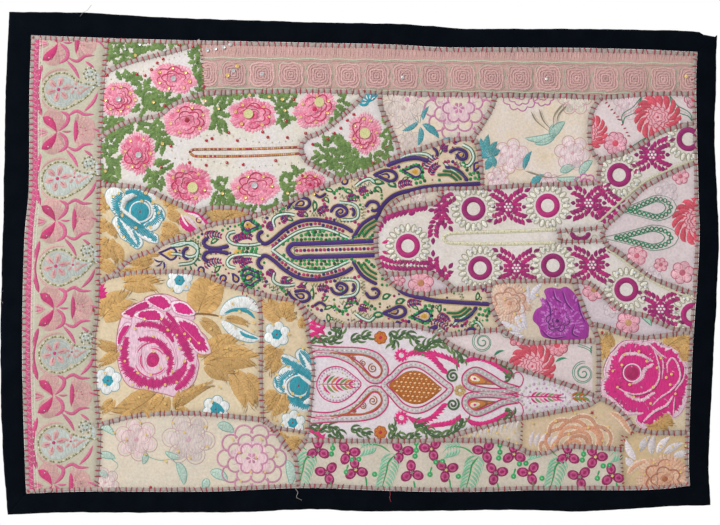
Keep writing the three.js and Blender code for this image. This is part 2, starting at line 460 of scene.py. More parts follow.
WHITE = tint(236, 232, 232)
CREAM = tint(236, 226, 200)
LEAF_GREEN = tint(120, 150, 80)
DEEP_GREEN = tint(74, 104, 50)
PINK = tint(236, 124, 156)
PALE_PINK = tint(250, 184, 200)
ROSE_RED = tint(196, 36, 84)
MAGENTA = tint(214, 34, 126)
DEEP_MAGENTA = tint(146, 22, 104)
BLUSH = tint(240, 196, 212)
TEAL = tint(44, 158, 176)
DEEP_TEAL = tint(24, 122, 140)
TAN = tint(214, 170, 104)
DARK_TAN = tint(142, 98, 48)
OLIVE_CREAM = tint(206, 202, 166)
CORAL = tint(226, 84, 104)
JADE = tint(48, 146, 108)
BRIGHT_GREEN = tint(52, 168, 98)
PURPLE = tint(62, 30, 112)
GOLD_THREAD = tint(204, 160, 82)
PEACH = tint(226, 170, 138)
VIOLET = tint(168, 50, 158)
DARK_RED = tint(150, 32, 48)


# ---- Needlework: many small raised shapes joined into one mesh ---------------

SHAPES = {      # half-width along a stroke, from 0 at its start to 1 at its end
    "line": lambda t: np.where((t <= 0) | (t >= 1), 0.45, 1.0),
    "leaf": lambda t: np.sin(math.pi * t ** 0.85) ** 0.8,
    "lobed": lambda t: np.sin(math.pi * t ** 0.85) ** 0.7 * (0.55 + 0.45 * ((LOBES * t) % 1)),
    "petal": lambda t: np.sin(math.pi * t ** 1.5) ** 0.6,
    "drop": lambda t: np.sin(math.pi * (1 - t) ** 1.5) ** 0.6,
    "taper": lambda t: np.minimum(1, 5 * t + 0.3) * (1 - t) ** 0.6,
    "crescent": lambda t: np.sin(math.pi * t) ** 0.5,
    "paisley": lambda t: drop_form(t),      # which comes further on
}
RIM = 1.5               # how far in from its edge a shape has come up to its height
SUNK = -0.35            # how deep its edge lies in the cloth
THREAD_SPREAD = 0.7     # how much wider a stroke is than the line it was given
RIM_SHADE = 0.5         # painted shade: how much darker thread is made where it goes down into the cloth, for the shadow at a shape's edge
SEAM_FADE = 5           # how far from a seam needlework comes up to its height
LEAST_FADE = 0.15       # the share of its height that it has on the seam
LEAF_CLEARANCE = 2      # least distance of a fill leaf from a seam
SEQUIN_CLEARANCE = 4.0  # and of a sequin


class Needlework:
    """Gathers shapes sewn on one patch, or anywhere if patch is None."""

    def __init__(self, patch=None):
        self.patch = None if patch is None else list(PATCHES).index(patch)
        self.places, self.rises, self.tints, self.threads, self.faces = [], [], [], [], []
        self.count = 0

    def add(self, places, rises, faces, colour, threads):
        """Adds one shape: a place, a rise and a thread coordinate a point, and faces of four."""
        places = np.asarray(places, float)
        shade = np.clip(np.asarray(colour) * RNG.normal(1, 0.07), 0, 1)
        self.places.append(places)
        self.rises.append(np.broadcast_to(rises, len(places)))
        # Painted shade: points sunk below the cloth get their colour darkened by RIM_SHADE, standing in for
        # the shadow round each shape's edge.
        depth = np.where(np.broadcast_to(rises, len(places)) < 0, RIM_SHADE, 1.0)[:, None]
        self.tints.append(np.concatenate([depth * shade, np.ones((len(places), 1))], axis=1))
        self.threads.append(threads)
        self.faces.append(np.asarray(faces) + self.count)
        self.count += len(places)

    def stroke(self, spine, width, colour, shape="line", rise=0.7, ragged=0.0):
        """A band of stitches along a line, domed across its width."""
        spine, width = np.asarray(spine, float), width + THREAD_SPREAD
        closed = len(spine) > 3 and np.allclose(spine[0], spine[-1], atol=0.3)
        along = distances_along(spine)
        ahead = np.gradient(spine, axis=0)
        if closed:
            ahead[0] = ahead[-1] = ahead[0] + ahead[-1]
        ahead /= np.maximum(np.hypot(*ahead.T), 1e-6)[:, None]
        side = np.stack([-ahead[:, 1], ahead[:, 0]], axis=1)
        form = np.ones(len(spine)) if closed else SHAPES[shape](along / max(along[-1], 1e-6))
        half = width / 2 * form
        shares, height = cross_section(width)
        half = half[:, None] * np.ones(len(shares))
        if ragged:
            half[:, [0, -1]] *= 1 + ragged * RNG.uniform(-1, 0.6, (len(spine), 2))
        places = spine[:, None] + side[:, None] * (half * shares)[..., None]
        swell = np.clip(half[:, :1] / (width / 2), 0.3, 1) * np.where(height > 0, height, 1)
        rises = np.where(height > 0, rise * swell, height[None])
        threads = np.stack(np.broadcast_arrays(along[:, None], half * shares), axis=-1)
        self.add(places.reshape(-1, 2), rises.ravel(), grid_faces(len(spine), len(shares)), colour,
                 threads.reshape(-1, 2))

    def dome(self, centre, radius, colour, rise=0.7, rings=(0.55, 0.88, 1.0), points=14, squash=1.0,
             angle=0.0):
        """A filled round shape. radius is a number, or a function of the angle in radians."""
        angles = np.linspace(0, 2 * math.pi, points, endpoint=False)
        reach = radius(angles) if callable(radius) else np.full(points, float(radius))
        unit = np.stack([np.cos(angles), squash * np.sin(angles)], axis=1) * reach[:, None]
        places = np.concatenate([[[0, 0]], *[share * unit for share in rings]])
        heights = np.concatenate([[rise]] + [
            np.full(points, rise * (1 - share ** 3) if share < 1 else SUNK) for share in rings])
        threads = places.copy()
        faces = []
        for ring in range(len(rings)):
            near, far = 1 + (ring - 1) * points, 1 + ring * points
            for k in range(points):
                after = (k + 1) % points
                if ring == 0:
                    faces.append((0, far + k, far + after, far + after))
                else:
                    faces.append((near + k, far + k, far + after, near + after))
        self.add(turned(places, angle, centre), heights, faces, colour, threads)

    def field(self, outline, colour, rise=0.4):
        """A filled shape, all of whose outline can be seen from its middle."""
        outline = np.asarray(outline, float)
        middle, count = outline.mean(axis=0), len(outline)
        reach = np.hypot(*(outline - middle).T).mean()
        shares = (0.2, 0.4, 0.6, 0.8, 1 - RIM / reach, 1.0)
        places = np.concatenate([[middle], *[middle + share * (outline - middle) for share in shares]])
        levels = len(shares) - 1
        heights = np.concatenate([[rise], np.repeat([rise] * levels + [SUNK], count)])
        ring = np.arange(count)
        after = (ring + 1) % count
        faces = [np.stack([0 * ring, 1 + ring, 1 + after, 1 + after], axis=1)]
        for level in range(levels):
            near, far = 1 + level * count, 1 + (level + 1) * count
            faces.append(np.stack([near + ring, far + ring, far + after, near + after], axis=1))
        self.add(places, heights, np.concatenate(faces), colour, places - middle)

    def arrays(self, fades=True, surface=None):
        """All shapes together, without the faces that lie off the patch. They fade at seams."""
        places, rises = np.concatenate(self.places), np.concatenate(self.rises)
        faces = np.concatenate(self.faces)
        if self.patch is not None:
            middle = places[faces].mean(axis=1)
            faces = faces[patch_at(middle[:, 0], middle[:, 1]) == self.patch]
            places = within_panel(places)
        used, faces = np.unique(faces, return_inverse=True)
        faces = faces.reshape(-1, 4)
        places, rises = places[used], rises[used]
        if fades:
            fade = np.clip(sampled(SEAM_DISTANCE, *places.T) / SEAM_FADE, LEAST_FADE, 1)
            rises = np.where(rises > 0, rises * fade, rises)
        points = (surface or on_cloth)(places[:, 0], places[:, 1], rises)
        return points, faces, np.concatenate(self.tints)[used], np.concatenate(self.threads)[used]

    def piece(self, name, material):
        points, faces, tints, threads = self.arrays()
        return textile(name, points, faces, material, tints, threads)


def cross_section(width):
    """Where points lie across a stroke, from -1 to 1, and how high each stands."""
    if width < 2.8:
        return np.array([-1.0, 0.0, 1.0]), np.array([SUNK, 1.0, SUNK])
    inset = 1 - min(0.4, RIM / (width / 2))
    return np.array([-1.0, -inset, 0.0, inset, 1.0]), np.array([SUNK, 0.8, 1.0, 0.8, SUNK])


def grid_faces(rows, columns):
    """The faces between the points of a grid, numbered row by row."""
    i, j = np.meshgrid(np.arange(rows - 1), np.arange(columns - 1), indexing="ij")
    a = (i * columns + j).ravel()
    return np.stack([a, a + columns, a + columns + 1, a + 1], axis=1)


def face_outwards(points, faces):
    """Turns faces that look away from the front, so that all look towards -Y."""
    a, b, c = (points[faces[:, k]] for k in (0, 1, 2))
    back = np.cross(b - a, c - a)[:, 1] > 0
    faces[back] = faces[back][:, ::-1]
    return faces


def textile(name, points, faces, material, tints=None, threads=None, front=True):
    """A mesh object from arrays in metres. A face whose last two corners are one is a triangle."""
    if front:
        faces = face_outwards(points, faces)
    mesh = bpy.data.meshes.new(name)
    corners = [tuple(dict.fromkeys(face)) for face in faces.tolist()]
    mesh.from_pydata(points, [], [face for face in corners if len(face) > 2])
    mesh.validate()
    tints = np.ones((len(points), 4)) if tints is None else tints
    mesh.color_attributes.new("tint", "FLOAT_COLOR", "POINT").data.foreach_set("color", tints.ravel())
    loops = np.empty(len(mesh.loops), int)
    mesh.loops.foreach_get("vertex_index", loops)
    if threads is not None:
        mesh.uv_layers.new(name="thread").data.foreach_set("uv", threads[loops].ravel())
    mesh.polygons.foreach_set("use_smooth", np.ones(len(mesh.polygons), bool))
    mesh.materials.append(material)
    piece = bpy.data.objects.new(name, mesh)
    bpy.context.scene.collection.objects.link(piece)
    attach(piece, "root")
    return piece


# ---- Materials ---------------------------------------------------------------

def add_node(tree, kind, inputs=None, **settings):
    """Adds a shader node. inputs names its sockets, with a value or another node's output."""
    node = tree.nodes.new(kind)
    for name, value in settings.items():
        setattr(node, name, value)
    for name, value in (inputs or {}).items():
        if isinstance(value, bpy.types.NodeSocket):
            tree.links.new(value, node.inputs[name])
        else:
            node.inputs[name].default_value = value
    return node


def new_material(name, **shader_values):
    material = bpy.data.materials.new(name)
    material.use_nodes = True
    shader = material.node_tree.nodes["Principled BSDF"]
    for socket, value in shader_values.items():
        shader.inputs[socket.replace("_", " ")].default_value = value
    return material, material.node_tree, shader


def noise(tree, vector, size, detail=2.0):
    """Noise whose features are about size metres across, from 0 to 1."""
    return add_node(tree, "ShaderNodeTexNoise",
                    {"Vector": vector, "Scale": 1 / size, "Detail": detail}).outputs["Fac"]


def ribs(tree, vector, pitch, direction):
    """Parallel ribs, pitch metres apart."""
    return add_node(tree, "ShaderNodeTexWave",
                    {"Vector": vector, "Scale": 2 * math.pi / 20 / pitch, "Distortion": 0.6,
                     "Detail": 1.0}, bands_direction=direction).outputs["Fac"]


def ranged(tree, value, low, high):
    return add_node(tree, "ShaderNodeMapRange",
                    {"Value": value, "To Min": low, "To Max": high}).outputs["Result"]


def times(tree, first, second):
    return add_node(tree, "ShaderNodeMath", {0: first, 1: second}, operation="MULTIPLY").outputs[0]


def blended(tree, share, first, second, blend="MIX"):
    return add_node(tree, "ShaderNodeMixRGB", {"Fac": share, "Color1": first, "Color2": second},
                    blend_type=blend).outputs["Color"]


def mesh_tint(tree):
    """The colour that the mesh carries at each point, with its painted shade."""
    return add_node(tree, "ShaderNodeAttribute", attribute_name="tint").outputs["Color"]


def with_alpha(colour):
    return (*[float(part) for part in colour], 1.0)


def bumped(tree, shader, height, distance):
    """Raises the surface where height is 1, by a distance in metres."""
    bump = add_node(tree, "ShaderNodeBump", {"Height": height, "Distance": distance, "Strength": 1.0})
    tree.links.new(bump.outputs["Normal"], shader.inputs["Normal"])


def cloth_material(name, base, stain, stain_size, thread=1.1, depth=0.25, sheen=0.15):
    """Woven cloth: base colour with stains of another, times the painted shade that the mesh carries, threads
    and slubs. Sizes in mm.
    """
    material, tree, shader = new_material(name, Roughness=0.85, Sheen_Weight=sheen,
                                          Specular_IOR_Level=0.25)
    place = add_node(tree, "ShaderNodeTexCoord").outputs["Object"]
    patchy = ranged(tree, noise(tree, place, stain_size / 1000, 4.0), -0.6, 1.6)
    colour = blended(tree, patchy, with_alpha(base), with_alpha(stain))
    grain = ranged(tree, noise(tree, place, 0.0035, 3.0), 0.74, 1.18)
    # Painted shade: the colour is multiplied by the shade that the mesh carries.
    shaded = blended(tree, 1.0, colour, mesh_tint(tree), "MULTIPLY")
    shader.inputs["Base Color"].default_value = with_alpha(base)
    tree.links.new(blended(tree, 1.0, shaded, grain, "MULTIPLY"), shader.inputs["Base Color"])
    weave = times(tree, ribs(tree, place, thread / 1000, "X"), ribs(tree, place, thread / 1000, "Z"))
    slubs = times(tree, weave, ranged(tree, noise(tree, place, 0.004), 0.4, 1.5))
    bumped(tree, shader, slubs, depth / 1000)
    return material


def thread_material(name, roughness, sheen):
    """Embroidery thread in the colour and painted shade that the mesh carries, with streaks of painted sheen
    along it, its stitches lying across the band.
    """
    material, tree, shader = new_material(name, Roughness=roughness, Sheen_Weight=sheen,
                                          Specular_IOR_Level=0.35)
    thread = add_node(tree, "ShaderNodeUVMap", uv_map="thread").outputs["UV"]
    stretched = add_node(tree, "ShaderNodeMapping", {"Vector": thread, "Scale": (0.9, 0.2, 1.0)})
    # Painted sheen: noise stretched along the thread brightens and darkens its colour in streaks.
    sheen_streaks = ranged(tree, noise(tree, stretched.outputs["Vector"], 1.7, 3.0), 0.4, 1.5)
    tree.links.new(blended(tree, 1.0, mesh_tint(tree), sheen_streaks, "MULTIPLY"), shader.inputs["Base Color"])
    stitches = ribs(tree, thread, 1.1, "X")
    bumped(tree, shader, stitches, 0.00022)
    return material


def trim_material(name, base, roughness, metallic=0.0, coat=0.0):
    """Sequins, beads and stones, with small scratches that change their gloss."""
    material, tree, shader = new_material(name, Metallic=metallic, Coat_Weight=coat)
    shader.inputs["Base Color"].default_value = with_alpha(base)
    place = add_node(tree, "ShaderNodeTexCoord").outputs["Object"]
    worn = ranged(tree, noise(tree, place, 0.002, 3.0), roughness * 0.6, roughness * 1.7)
    tree.links.new(worn, shader.inputs["Roughness"])
    return material


def ribbon_material():
    """Satin ribbon, silver grey with pinker and greener lengths and fine ribs along it, with painted shade
    from the mesh and patches of painted sheen.
    """
    material, tree, shader = new_material("satin_ribbon", Roughness=0.42, Sheen_Weight=0.3)
    place = add_node(tree, "ShaderNodeTexCoord").outputs["Object"]
    thread = add_node(tree, "ShaderNodeUVMap", uv_map="thread").outputs["UV"]
    lengths = ranged(tree, noise(tree, place, 0.05, 3.0), -0.5, 1.5)
    colour = blended(tree, lengths, with_alpha(tint(172, 164, 154)), with_alpha(tint(186, 166, 162)))
    # Painted shade: the colour is multiplied by the shade that the mesh carries at its edges and stitches.
    shaded = blended(tree, 1.0, colour, mesh_tint(tree), "MULTIPLY")
    # Painted sheen: noise that brightens and darkens the satin's colour in patches.
    painted_sheen = ranged(tree, noise(tree, place, 0.006, 2.0), 0.74, 1.22)
    tree.links.new(blended(tree, 1.0, shaded, painted_sheen, "MULTIPLY"), shader.inputs["Base Color"])
    bumped(tree, shader, ribs(tree, thread, 0.9, "Y"), 0.0002)
    return material


def dark_cotton_material():
    """Matt near-black cotton with paler dust in its weave."""
    material, tree, shader = new_material("dark_cotton", Roughness=0.97, Sheen_Weight=0.01,
                                          Specular_IOR_Level=0.05)
    place = add_node(tree, "ShaderNodeTexCoord").outputs["Object"]
    dust = ranged(tree, noise(tree, place, 0.03, 5.0), -0.3, 1.3)
    colour = blended(tree, dust, with_alpha(tint(2, 7, 14)), with_alpha(tint(8, 14, 22)))
    tree.links.new(colour, shader.inputs["Base Color"])
    weave = times(tree, ribs(tree, place, 0.0009, "X"), ribs(tree, place, 0.0009, "Z"))
    bumped(tree, shader, weave, 0.0002)
    return material


# ---- Motifs ------------------------------------------------------------------

def petal(work, base, tip, width, colour, bend=0.0, shape="leaf", rise=0.8, ragged=0.0):
    work.stroke(bowed(base, tip, bend), width, colour, shape, rise, ragged)


def scalloped(centre, radius, lobes, first, last, depth=0.16, squash=1.0, tilt=0.0):
    """A line round a centre that bulges out into lobes."""
    bearings = np.radians(np.arange(first, last + 1, 5))
    reach = radius * (1 - depth + depth * np.abs(np.sin(lobes * bearings / 2)))
    line = reach[:, None] * np.stack([np.cos(bearings), squash * np.sin(bearings)], axis=1)
    return turned(line, tilt, centre)


def lobed_leaf(work, base, tip, width):
    """A leaf cut into pointed lobes, with dark veins."""
    line = bowed(base, tip, RNG.uniform(-0.15, 0.15), 4 * LOBES + 1)
    work.stroke(line, width, mixed(LEAF_GREEN, DEEP_GREEN, RNG.uniform(0, 0.55)), "lobed",
                RNG.uniform(0.5, 0.8))
    work.stroke(line[:-2:2], 0.5, DEEP_GREEN, "taper", 1.0)
    for lobe in range(LOBES - 1):
        root, level = line[4 * lobe + 1], line[4 * lobe + 3]
        for way in (-1, 1):
            side = way * across(line)[4 * lobe + 3]
            vein = [root, (root + level) / 2 + 0.12 * width * side, level + 0.32 * width * side]
            work.stroke(vein, 0.2, DEEP_GREEN, "taper", 1.0)


def gaps(taken, candidates, clearance, apart):
    """The candidates that lie clear of the points taken, and apart from each other."""
    chosen = []
    for place in candidates:
        if sampled(SEAM_DISTANCE, *place) < LEAF_CLEARANCE or np.hypot(*(taken - place).T).min() < clearance:
            continue
        if all(np.hypot(*(other - place)) > apart for other in chosen):
            chosen.append(place)
    return chosen


def thicket(work, zones, length=17.0, width=11.0, clearance=3.2, apart=5.8):
    """Cut leaves crowded into oval zones, round whatever is sewn there. They turn outwards."""
    taken, chosen = np.concatenate(work.places + [np.zeros((1, 2))]), []
    for x, z, wide, tall in zones:
        count = int(wide * tall / 5)
        reach = RNG.uniform(0, 1, count) ** 0.5
        bearings = RNG.uniform(0, 360, count)
        candidates = [np.array((x, z)) + polar((0, 0), r, b) * (wide, tall) for r, b in zip(reach, bearings)]
        places = gaps(np.concatenate([taken, *chosen]), candidates, clearance, apart)
        for place in places:
            heading = bearing_to((x, z), place) + RNG.uniform(-60, 60)
            size = length * RNG.uniform(0.75, 1.15)
            lobed_leaf(work, polar(place, 0.45 * size, heading + 180), polar(place, 0.55 * size, heading),
                       width * RNG.uniform(0.85, 1.15))
        chosen.append(np.array(places).reshape(-1, 2))


def scroll(work, points, width, colour, rise=0.8):
    """A tapering stem."""
    work.stroke(curve(points, 2.0), width, colour, "taper", rise)


def round_petals(work, centre, near, far, count, width, colour, start=0.0, rise=0.8):
    """Petals set round a centre, from one distance to another."""
    for k in range(count):
        bearing = start + 360 * k / count
        petal(work, polar(centre, near, bearing), polar(centre, far, bearing), width, colour, 0.0,
              "petal", rise)


def full_rose(work, centre, size, tilt, squash, tones=(PINK, PALE_PINK, ROSE_RED), heart=ROSE_RED):
    """A round embroidered rose: rings of stitched petals with red lines between them."""
    body, light, dark = tones
    start = RNG.uniform(0, 360)

    def swell(bearing, lobes=6):
        return 0.94 + 0.12 * abs(math.sin(math.radians(lobes * (bearing - start) / 2)))

    work.dome(centre, lambda a: size * (0.9 + 0.1 * np.abs(np.sin(3 * (a - math.radians(start))))),
              mixed(body, light, 0.4), rise=0.35, rings=(0.35, 0.7, 0.92, 1.0), points=48, squash=squash,
              angle=tilt)
    for near, far, count, pale in ((0.76, 1.03, 42, 0.7), (0.53, 0.82, 32, 0.3), (0.3, 0.6, 22, 0.45),
                                   (0.05, 0.34, 12, 0.0)):
        for k in range(count):
            bearing = start + 360 * k / count
            reach = size * swell(bearing) * RNG.uniform(0.96, 1.05)
            ends = [polar((0, 0), share * reach, bearing) * (1, squash) for share in (near, far)]
            work.stroke(bowed(*turned(np.array(ends), tilt, centre), 0.12, 4), 6.2 * far * size / count,
                        mixed(body, light, np.clip(pale + RNG.uniform(-0.5, 0.4), 0, 1)), "crescent", 0.7)
    for share, lobes, width in ((0.78, 6, 2.2), (0.56, 5, 2.4), (0.36, 4, 2.0), (0.2, 3, 1.6)):
        middle = RNG.uniform(-0.06, 0.06, 2) * size
        first = start + RNG.uniform(-20, 20)
        line = middle + scalloped((0, 0), share * size, lobes, first, first + RNG.uniform(270, 360), 0.26,
                                  squash)
        work.stroke(turned(line, tilt, centre), width, mixed(dark, body, RNG.uniform(0, 0.2)), "crescent",
                    1.25)
        work.stroke(turned(1.07 * line, tilt, centre), 0.9, mixed(light, WHITE, 0.4), "crescent", 1.1)
    work.dome(centre, 0.13 * size, heart, rise=1.5, points=9)


def peony(work, centre, size, line, fill, width, squash=1.0, rise=0.45):
    """A printed peony: rings of scalloped petals in outline over a pale ground."""
    work.dome(centre, 0.93 * size, fill, rise=0.12, rings=(0.5, 1.0), points=28, squash=squash)
    for share, count, start in ((0.8, 10, 0), (0.55, 8, 20), (0.32, 6, 0)):
        for k in range(count):
            middle = polar((0, 0), share * size, start + 360 * k / count)
            lobe = share * size * math.sin(math.pi / count) * 1.12
            bearing = start + 360 * k / count
            scallop = arc(middle, lobe, bearing - 105, bearing + 105)
            work.stroke(np.asarray(centre) + scallop * (1, squash), width, line, "line", rise)
    for k in range(10):
        near, far = polar(centre, 0.4 * size, 18 + 36 * k), polar(centre, 0.66 * size, 18 + 36 * k)
        work.stroke(bowed(near, far, 0.06), 0.6 * width, line, "taper", rise)
    round_petals(work, centre, 0.03 * size, 0.19 * size, 6, 0.11 * size, line, rise=rise)


DAHLIA_PALE = tint(240, 180, 190)


def dahlia(work, centre, size, turn):
    """A dahlia: a ring of thick curved petals round a paler, outlined middle."""
    work.dome(centre, 0.72 * size, DAHLIA_PALE, rise=0.3, points=20)
    for near, far, count in ((0.5, 1.02, 15), (0.42, 0.84, 13)):
        for k in range(count):
            bearing = turn + 360 * (k + (near > 0.45) / 2) / count
            ends = polar((0, 0), near * size, bearing - 22), polar((0, 0), far * size, bearing + 10)
            line = bowed(centre + ends[0], centre + ends[1], -0.25, 7)
            work.stroke(line, 0.24 * size, mixed(CORAL, DARK_RED, RNG.uniform(0, 0.2)), "petal", 0.9)
            work.stroke(line[1:-1], 0.2, DAHLIA_PALE, "crescent", 1.15)
    for share, lobes in ((0.5, 9), (0.36, 7), (0.22, 5)):
        line = scalloped(centre, share * size, lobes, turn, turn + 360, 0.25)
        work.stroke(line, 1.2, CORAL, "line", 1.0)
    work.dome(centre, 0.07 * size, CORAL, rise=1.2, points=9)


def daisy(work, centre, size, petals, colour, line, turn=0.0, heart=None):
    """A flower of a few round petals, each with its outline."""
    for k in range(petals):
        bearing = turn + 360 * k / petals
        middle = polar(centre, 0.58 * size, bearing)
        work.dome(middle, 0.4 * size, colour, rise=0.5, points=10, squash=0.8, angle=bearing)
        work.stroke(arc(middle, 0.4 * size, bearing - 150, bearing + 150, 2.0), 1.5, line, "line", 0.7)
        work.stroke(bowed(centre, middle, 0.0), 1.0, line, "taper", 0.75)
    if heart is not None:
        work.dome(centre, 0.3 * size, heart, rise=0.9, points=10)


def leaf(work, base, tip, width, colour, vein, bend, ragged=0.12, rise=0.7):
    """A broad leaf with its midrib and side veins."""
    line = bowed(base, tip, bend, 9)
    work.stroke(line, width, colour, "leaf", rise, ragged)
    work.stroke(line[:-1], 0.9, vein, "taper", rise + 0.35)
    for k in range(2, 7):
        ahead = line[k + 1] - line[k - 1]
        ahead /= np.hypot(*ahead)
        side = np.array([-ahead[1], ahead[0]])
        for way in (-1, 1):
            tip_of_vein = line[k] + width * 0.36 * (way * side + 0.9 * ahead)
            work.stroke(bowed(line[k], tip_of_vein, 0.08 * way, 4), 0.6, vein, "taper", rise + 0.45)


def drop_form(t, widest=0.35):
    """Half-width of a paisley along its middle line: a round body that narrows to its tip."""
    body = np.sqrt(np.clip(1 - ((t - widest) / widest) ** 2, 0, 1))
    tail = np.clip(1 - (t - widest) / (1 - widest), 0, 1) ** 1.15
    return np.where(t < widest, body, tail)


def paisley_spine(length, curl, count=22):
    """A paisley's middle line from its round end to its curled tip, drawn about (0, 0)."""
    t = np.linspace(0, 1, count)
    return np.stack([length * (t - 0.35), curl * length * np.clip(t - 0.3, 0, 1) ** 2 * 1.6], axis=1)


def paisley_outline(length, width, curl, count=22):
    """A paisley's closed outline, drawn about (0, 0)."""
    spine = paisley_spine(length, curl, count)
    half = (width / 2 * drop_form(np.linspace(0, 1, count)))[:, None] * across(spine)
    return np.concatenate([spine + half, (spine - half)[::-1]])


def ring_of_dots(work, line, pitch, size, colours, rise=1.0):
    """Knots set along a line, their colours taken in turn."""
    for k, place in enumerate(resampled(line, pitch)):
        work.dome(place, size, colours[k % len(colours)], rise=rise, rings=(0.7, 1.0), points=6)


# ---- Sequins, beads and stones -----------------------------------------------

TRIMS = {name: Needlework() for name in ("gold", "silver", "cream", "stone", "bead")}


DISC_POINTS = 12
DISC_CUP = 0.5


def disc(work, place, radius, rise):
    """A cupped disc, lying a little aslant."""
    angles = np.linspace(0, 2 * math.pi, DISC_POINTS, endpoint=False)
    rim = radius * np.stack([np.cos(angles), np.sin(angles)], axis=1)
    offsets = np.concatenate([[[0, 0]], 0.5 * rim, rim])
    heights = np.repeat([0, 0.3 * DISC_CUP, DISC_CUP], [1, DISC_POINTS, DISC_POINTS])
    heights = heights + offsets @ RNG.uniform(-0.12, 0.12, 2)
    after = (np.arange(DISC_POINTS) + 1) % DISC_POINTS
    near = np.arange(DISC_POINTS) + 1
    far = near + DISC_POINTS
    faces = np.concatenate([np.stack([near * 0, near, near[after], near[after]], axis=1),
                            np.stack([near, far, far[after], near[after]], axis=1)])
    work.add(np.asarray(place) + offsets, rise + heights, faces, WHITE, offsets)


def sequins(kind, places, radius=2.8):
    """Sequins, each held by a bead, wherever no ribbon covers them."""
    for place in places:
        near_seam = sampled(SEAM_DISTANCE, *np.array(place)) < SEQUIN_CLEARANCE
        if near_seam or patch_at(*np.array(place)) < 0:
            continue
        disc(TRIMS[kind], place, radius * RNG.uniform(0.9, 1.12), rise=1.5)
        TRIMS["bead"].dome(place, 0.75, WHITE, rise=2.4, rings=(0.7, 1.0), points=7)


def stones(places, radius=2.8):
    """Small faceted stones."""
    for place in places:
        TRIMS["stone"].dome(place, radius, WHITE, rise=2.3, rings=(0.6, 1.0), points=8)


# ---- Patches: top left -------------------------------------------------------

COLUMN_PINK = tint(212, 98, 140)
COLUMN_MAGENTA = tint(198, 50, 112)
COLUMN_BRIGHT = tint(206, 76, 128)
COLUMN_PALE = tint(232, 214, 204)
COLUMN_GREY = tint(190, 198, 192)
COLUMN_OLIVE = tint(132, 126, 82)
COLUMN_ROSE = tint(210, 166, 160)
PAISLEY_LEVELS = (32, -104.5, -241.5, -376, -510, -647.5)


def paisley(work, centre, angle, length, width, curl, layers):
    """A paisley, from its outside in.

    A layer is a share of its size, the width of its line or 0 to fill it, and a colour.
    """
    for depth, (share, line, colour) in enumerate(layers):
        size = share * length, share * width
        if line:
            outline = turned(paisley_outline(*size, curl), angle, centre)
            work.stroke(resampled(outline, 2.5), line, colour, rise=0.6 + 0.12 * depth)
        else:
            spine = turned(paisley_spine(size[0], curl), angle, centre)
            work.stroke(spine, size[1], colour, "paisley", rise=0.25 + 0.12 * depth)


def left_edge_line(offset, first, last, step=6.0):
    """A line along the panel's left edge, a distance inside it."""
    z = np.arange(first, last, -step)
    x = np.interp(-z, -INNER["left"][:, 1], INNER["left"][:, 0]) + offset
    return np.stack([x, z], axis=1)


def sew_column(work):
    """A printed and stitched border cloth: paisleys between flowers and scrolls, beside a wave."""
    work.stroke(left_edge_line(7, -20, -726), 16, COLUMN_PALE, rise=0.1)
    work.stroke(left_edge_line(8, -20, -726), 11, COLUMN_BRIGHT, rise=0.6)
    for place in left_edge_line(9.5, -24, -724, 9.3):
        hook = [place + (-4, 4.6), place + (-1, 1.4), place + (2.2, 0.6), place + (4.4, 3.4)]
        work.stroke(curve(hook), 1.0, COLUMN_PALE, "crescent", 1.1)
        work.stroke(bowed(place + (4.8, -1.2), place + (-1.6, -4.4), -0.2), 1.0, COLUMN_PALE, "crescent", 1.1)
        work.dome(place + (5.6, 0), 1.7, COLUMN_PALE, rise=1.0, rings=(0.6, 1.0), points=7)
    work.stroke(left_edge_line(18.5, -22, -726), 1.8, tint(232, 226, 210), rise=0.7)
    for level in PAISLEY_LEVELS:
        sew_column_paisley(work, level)
        sew_column_lily(work, level)
        sew_column_scrolls(work, level)


def column_places(level):
    """Makes a function that places the column's pattern at a level. The column leans a little."""
    drift = 0.013 * (level + 104.5)
    return lambda *places: [(x + drift, level + z) for x, z in places]


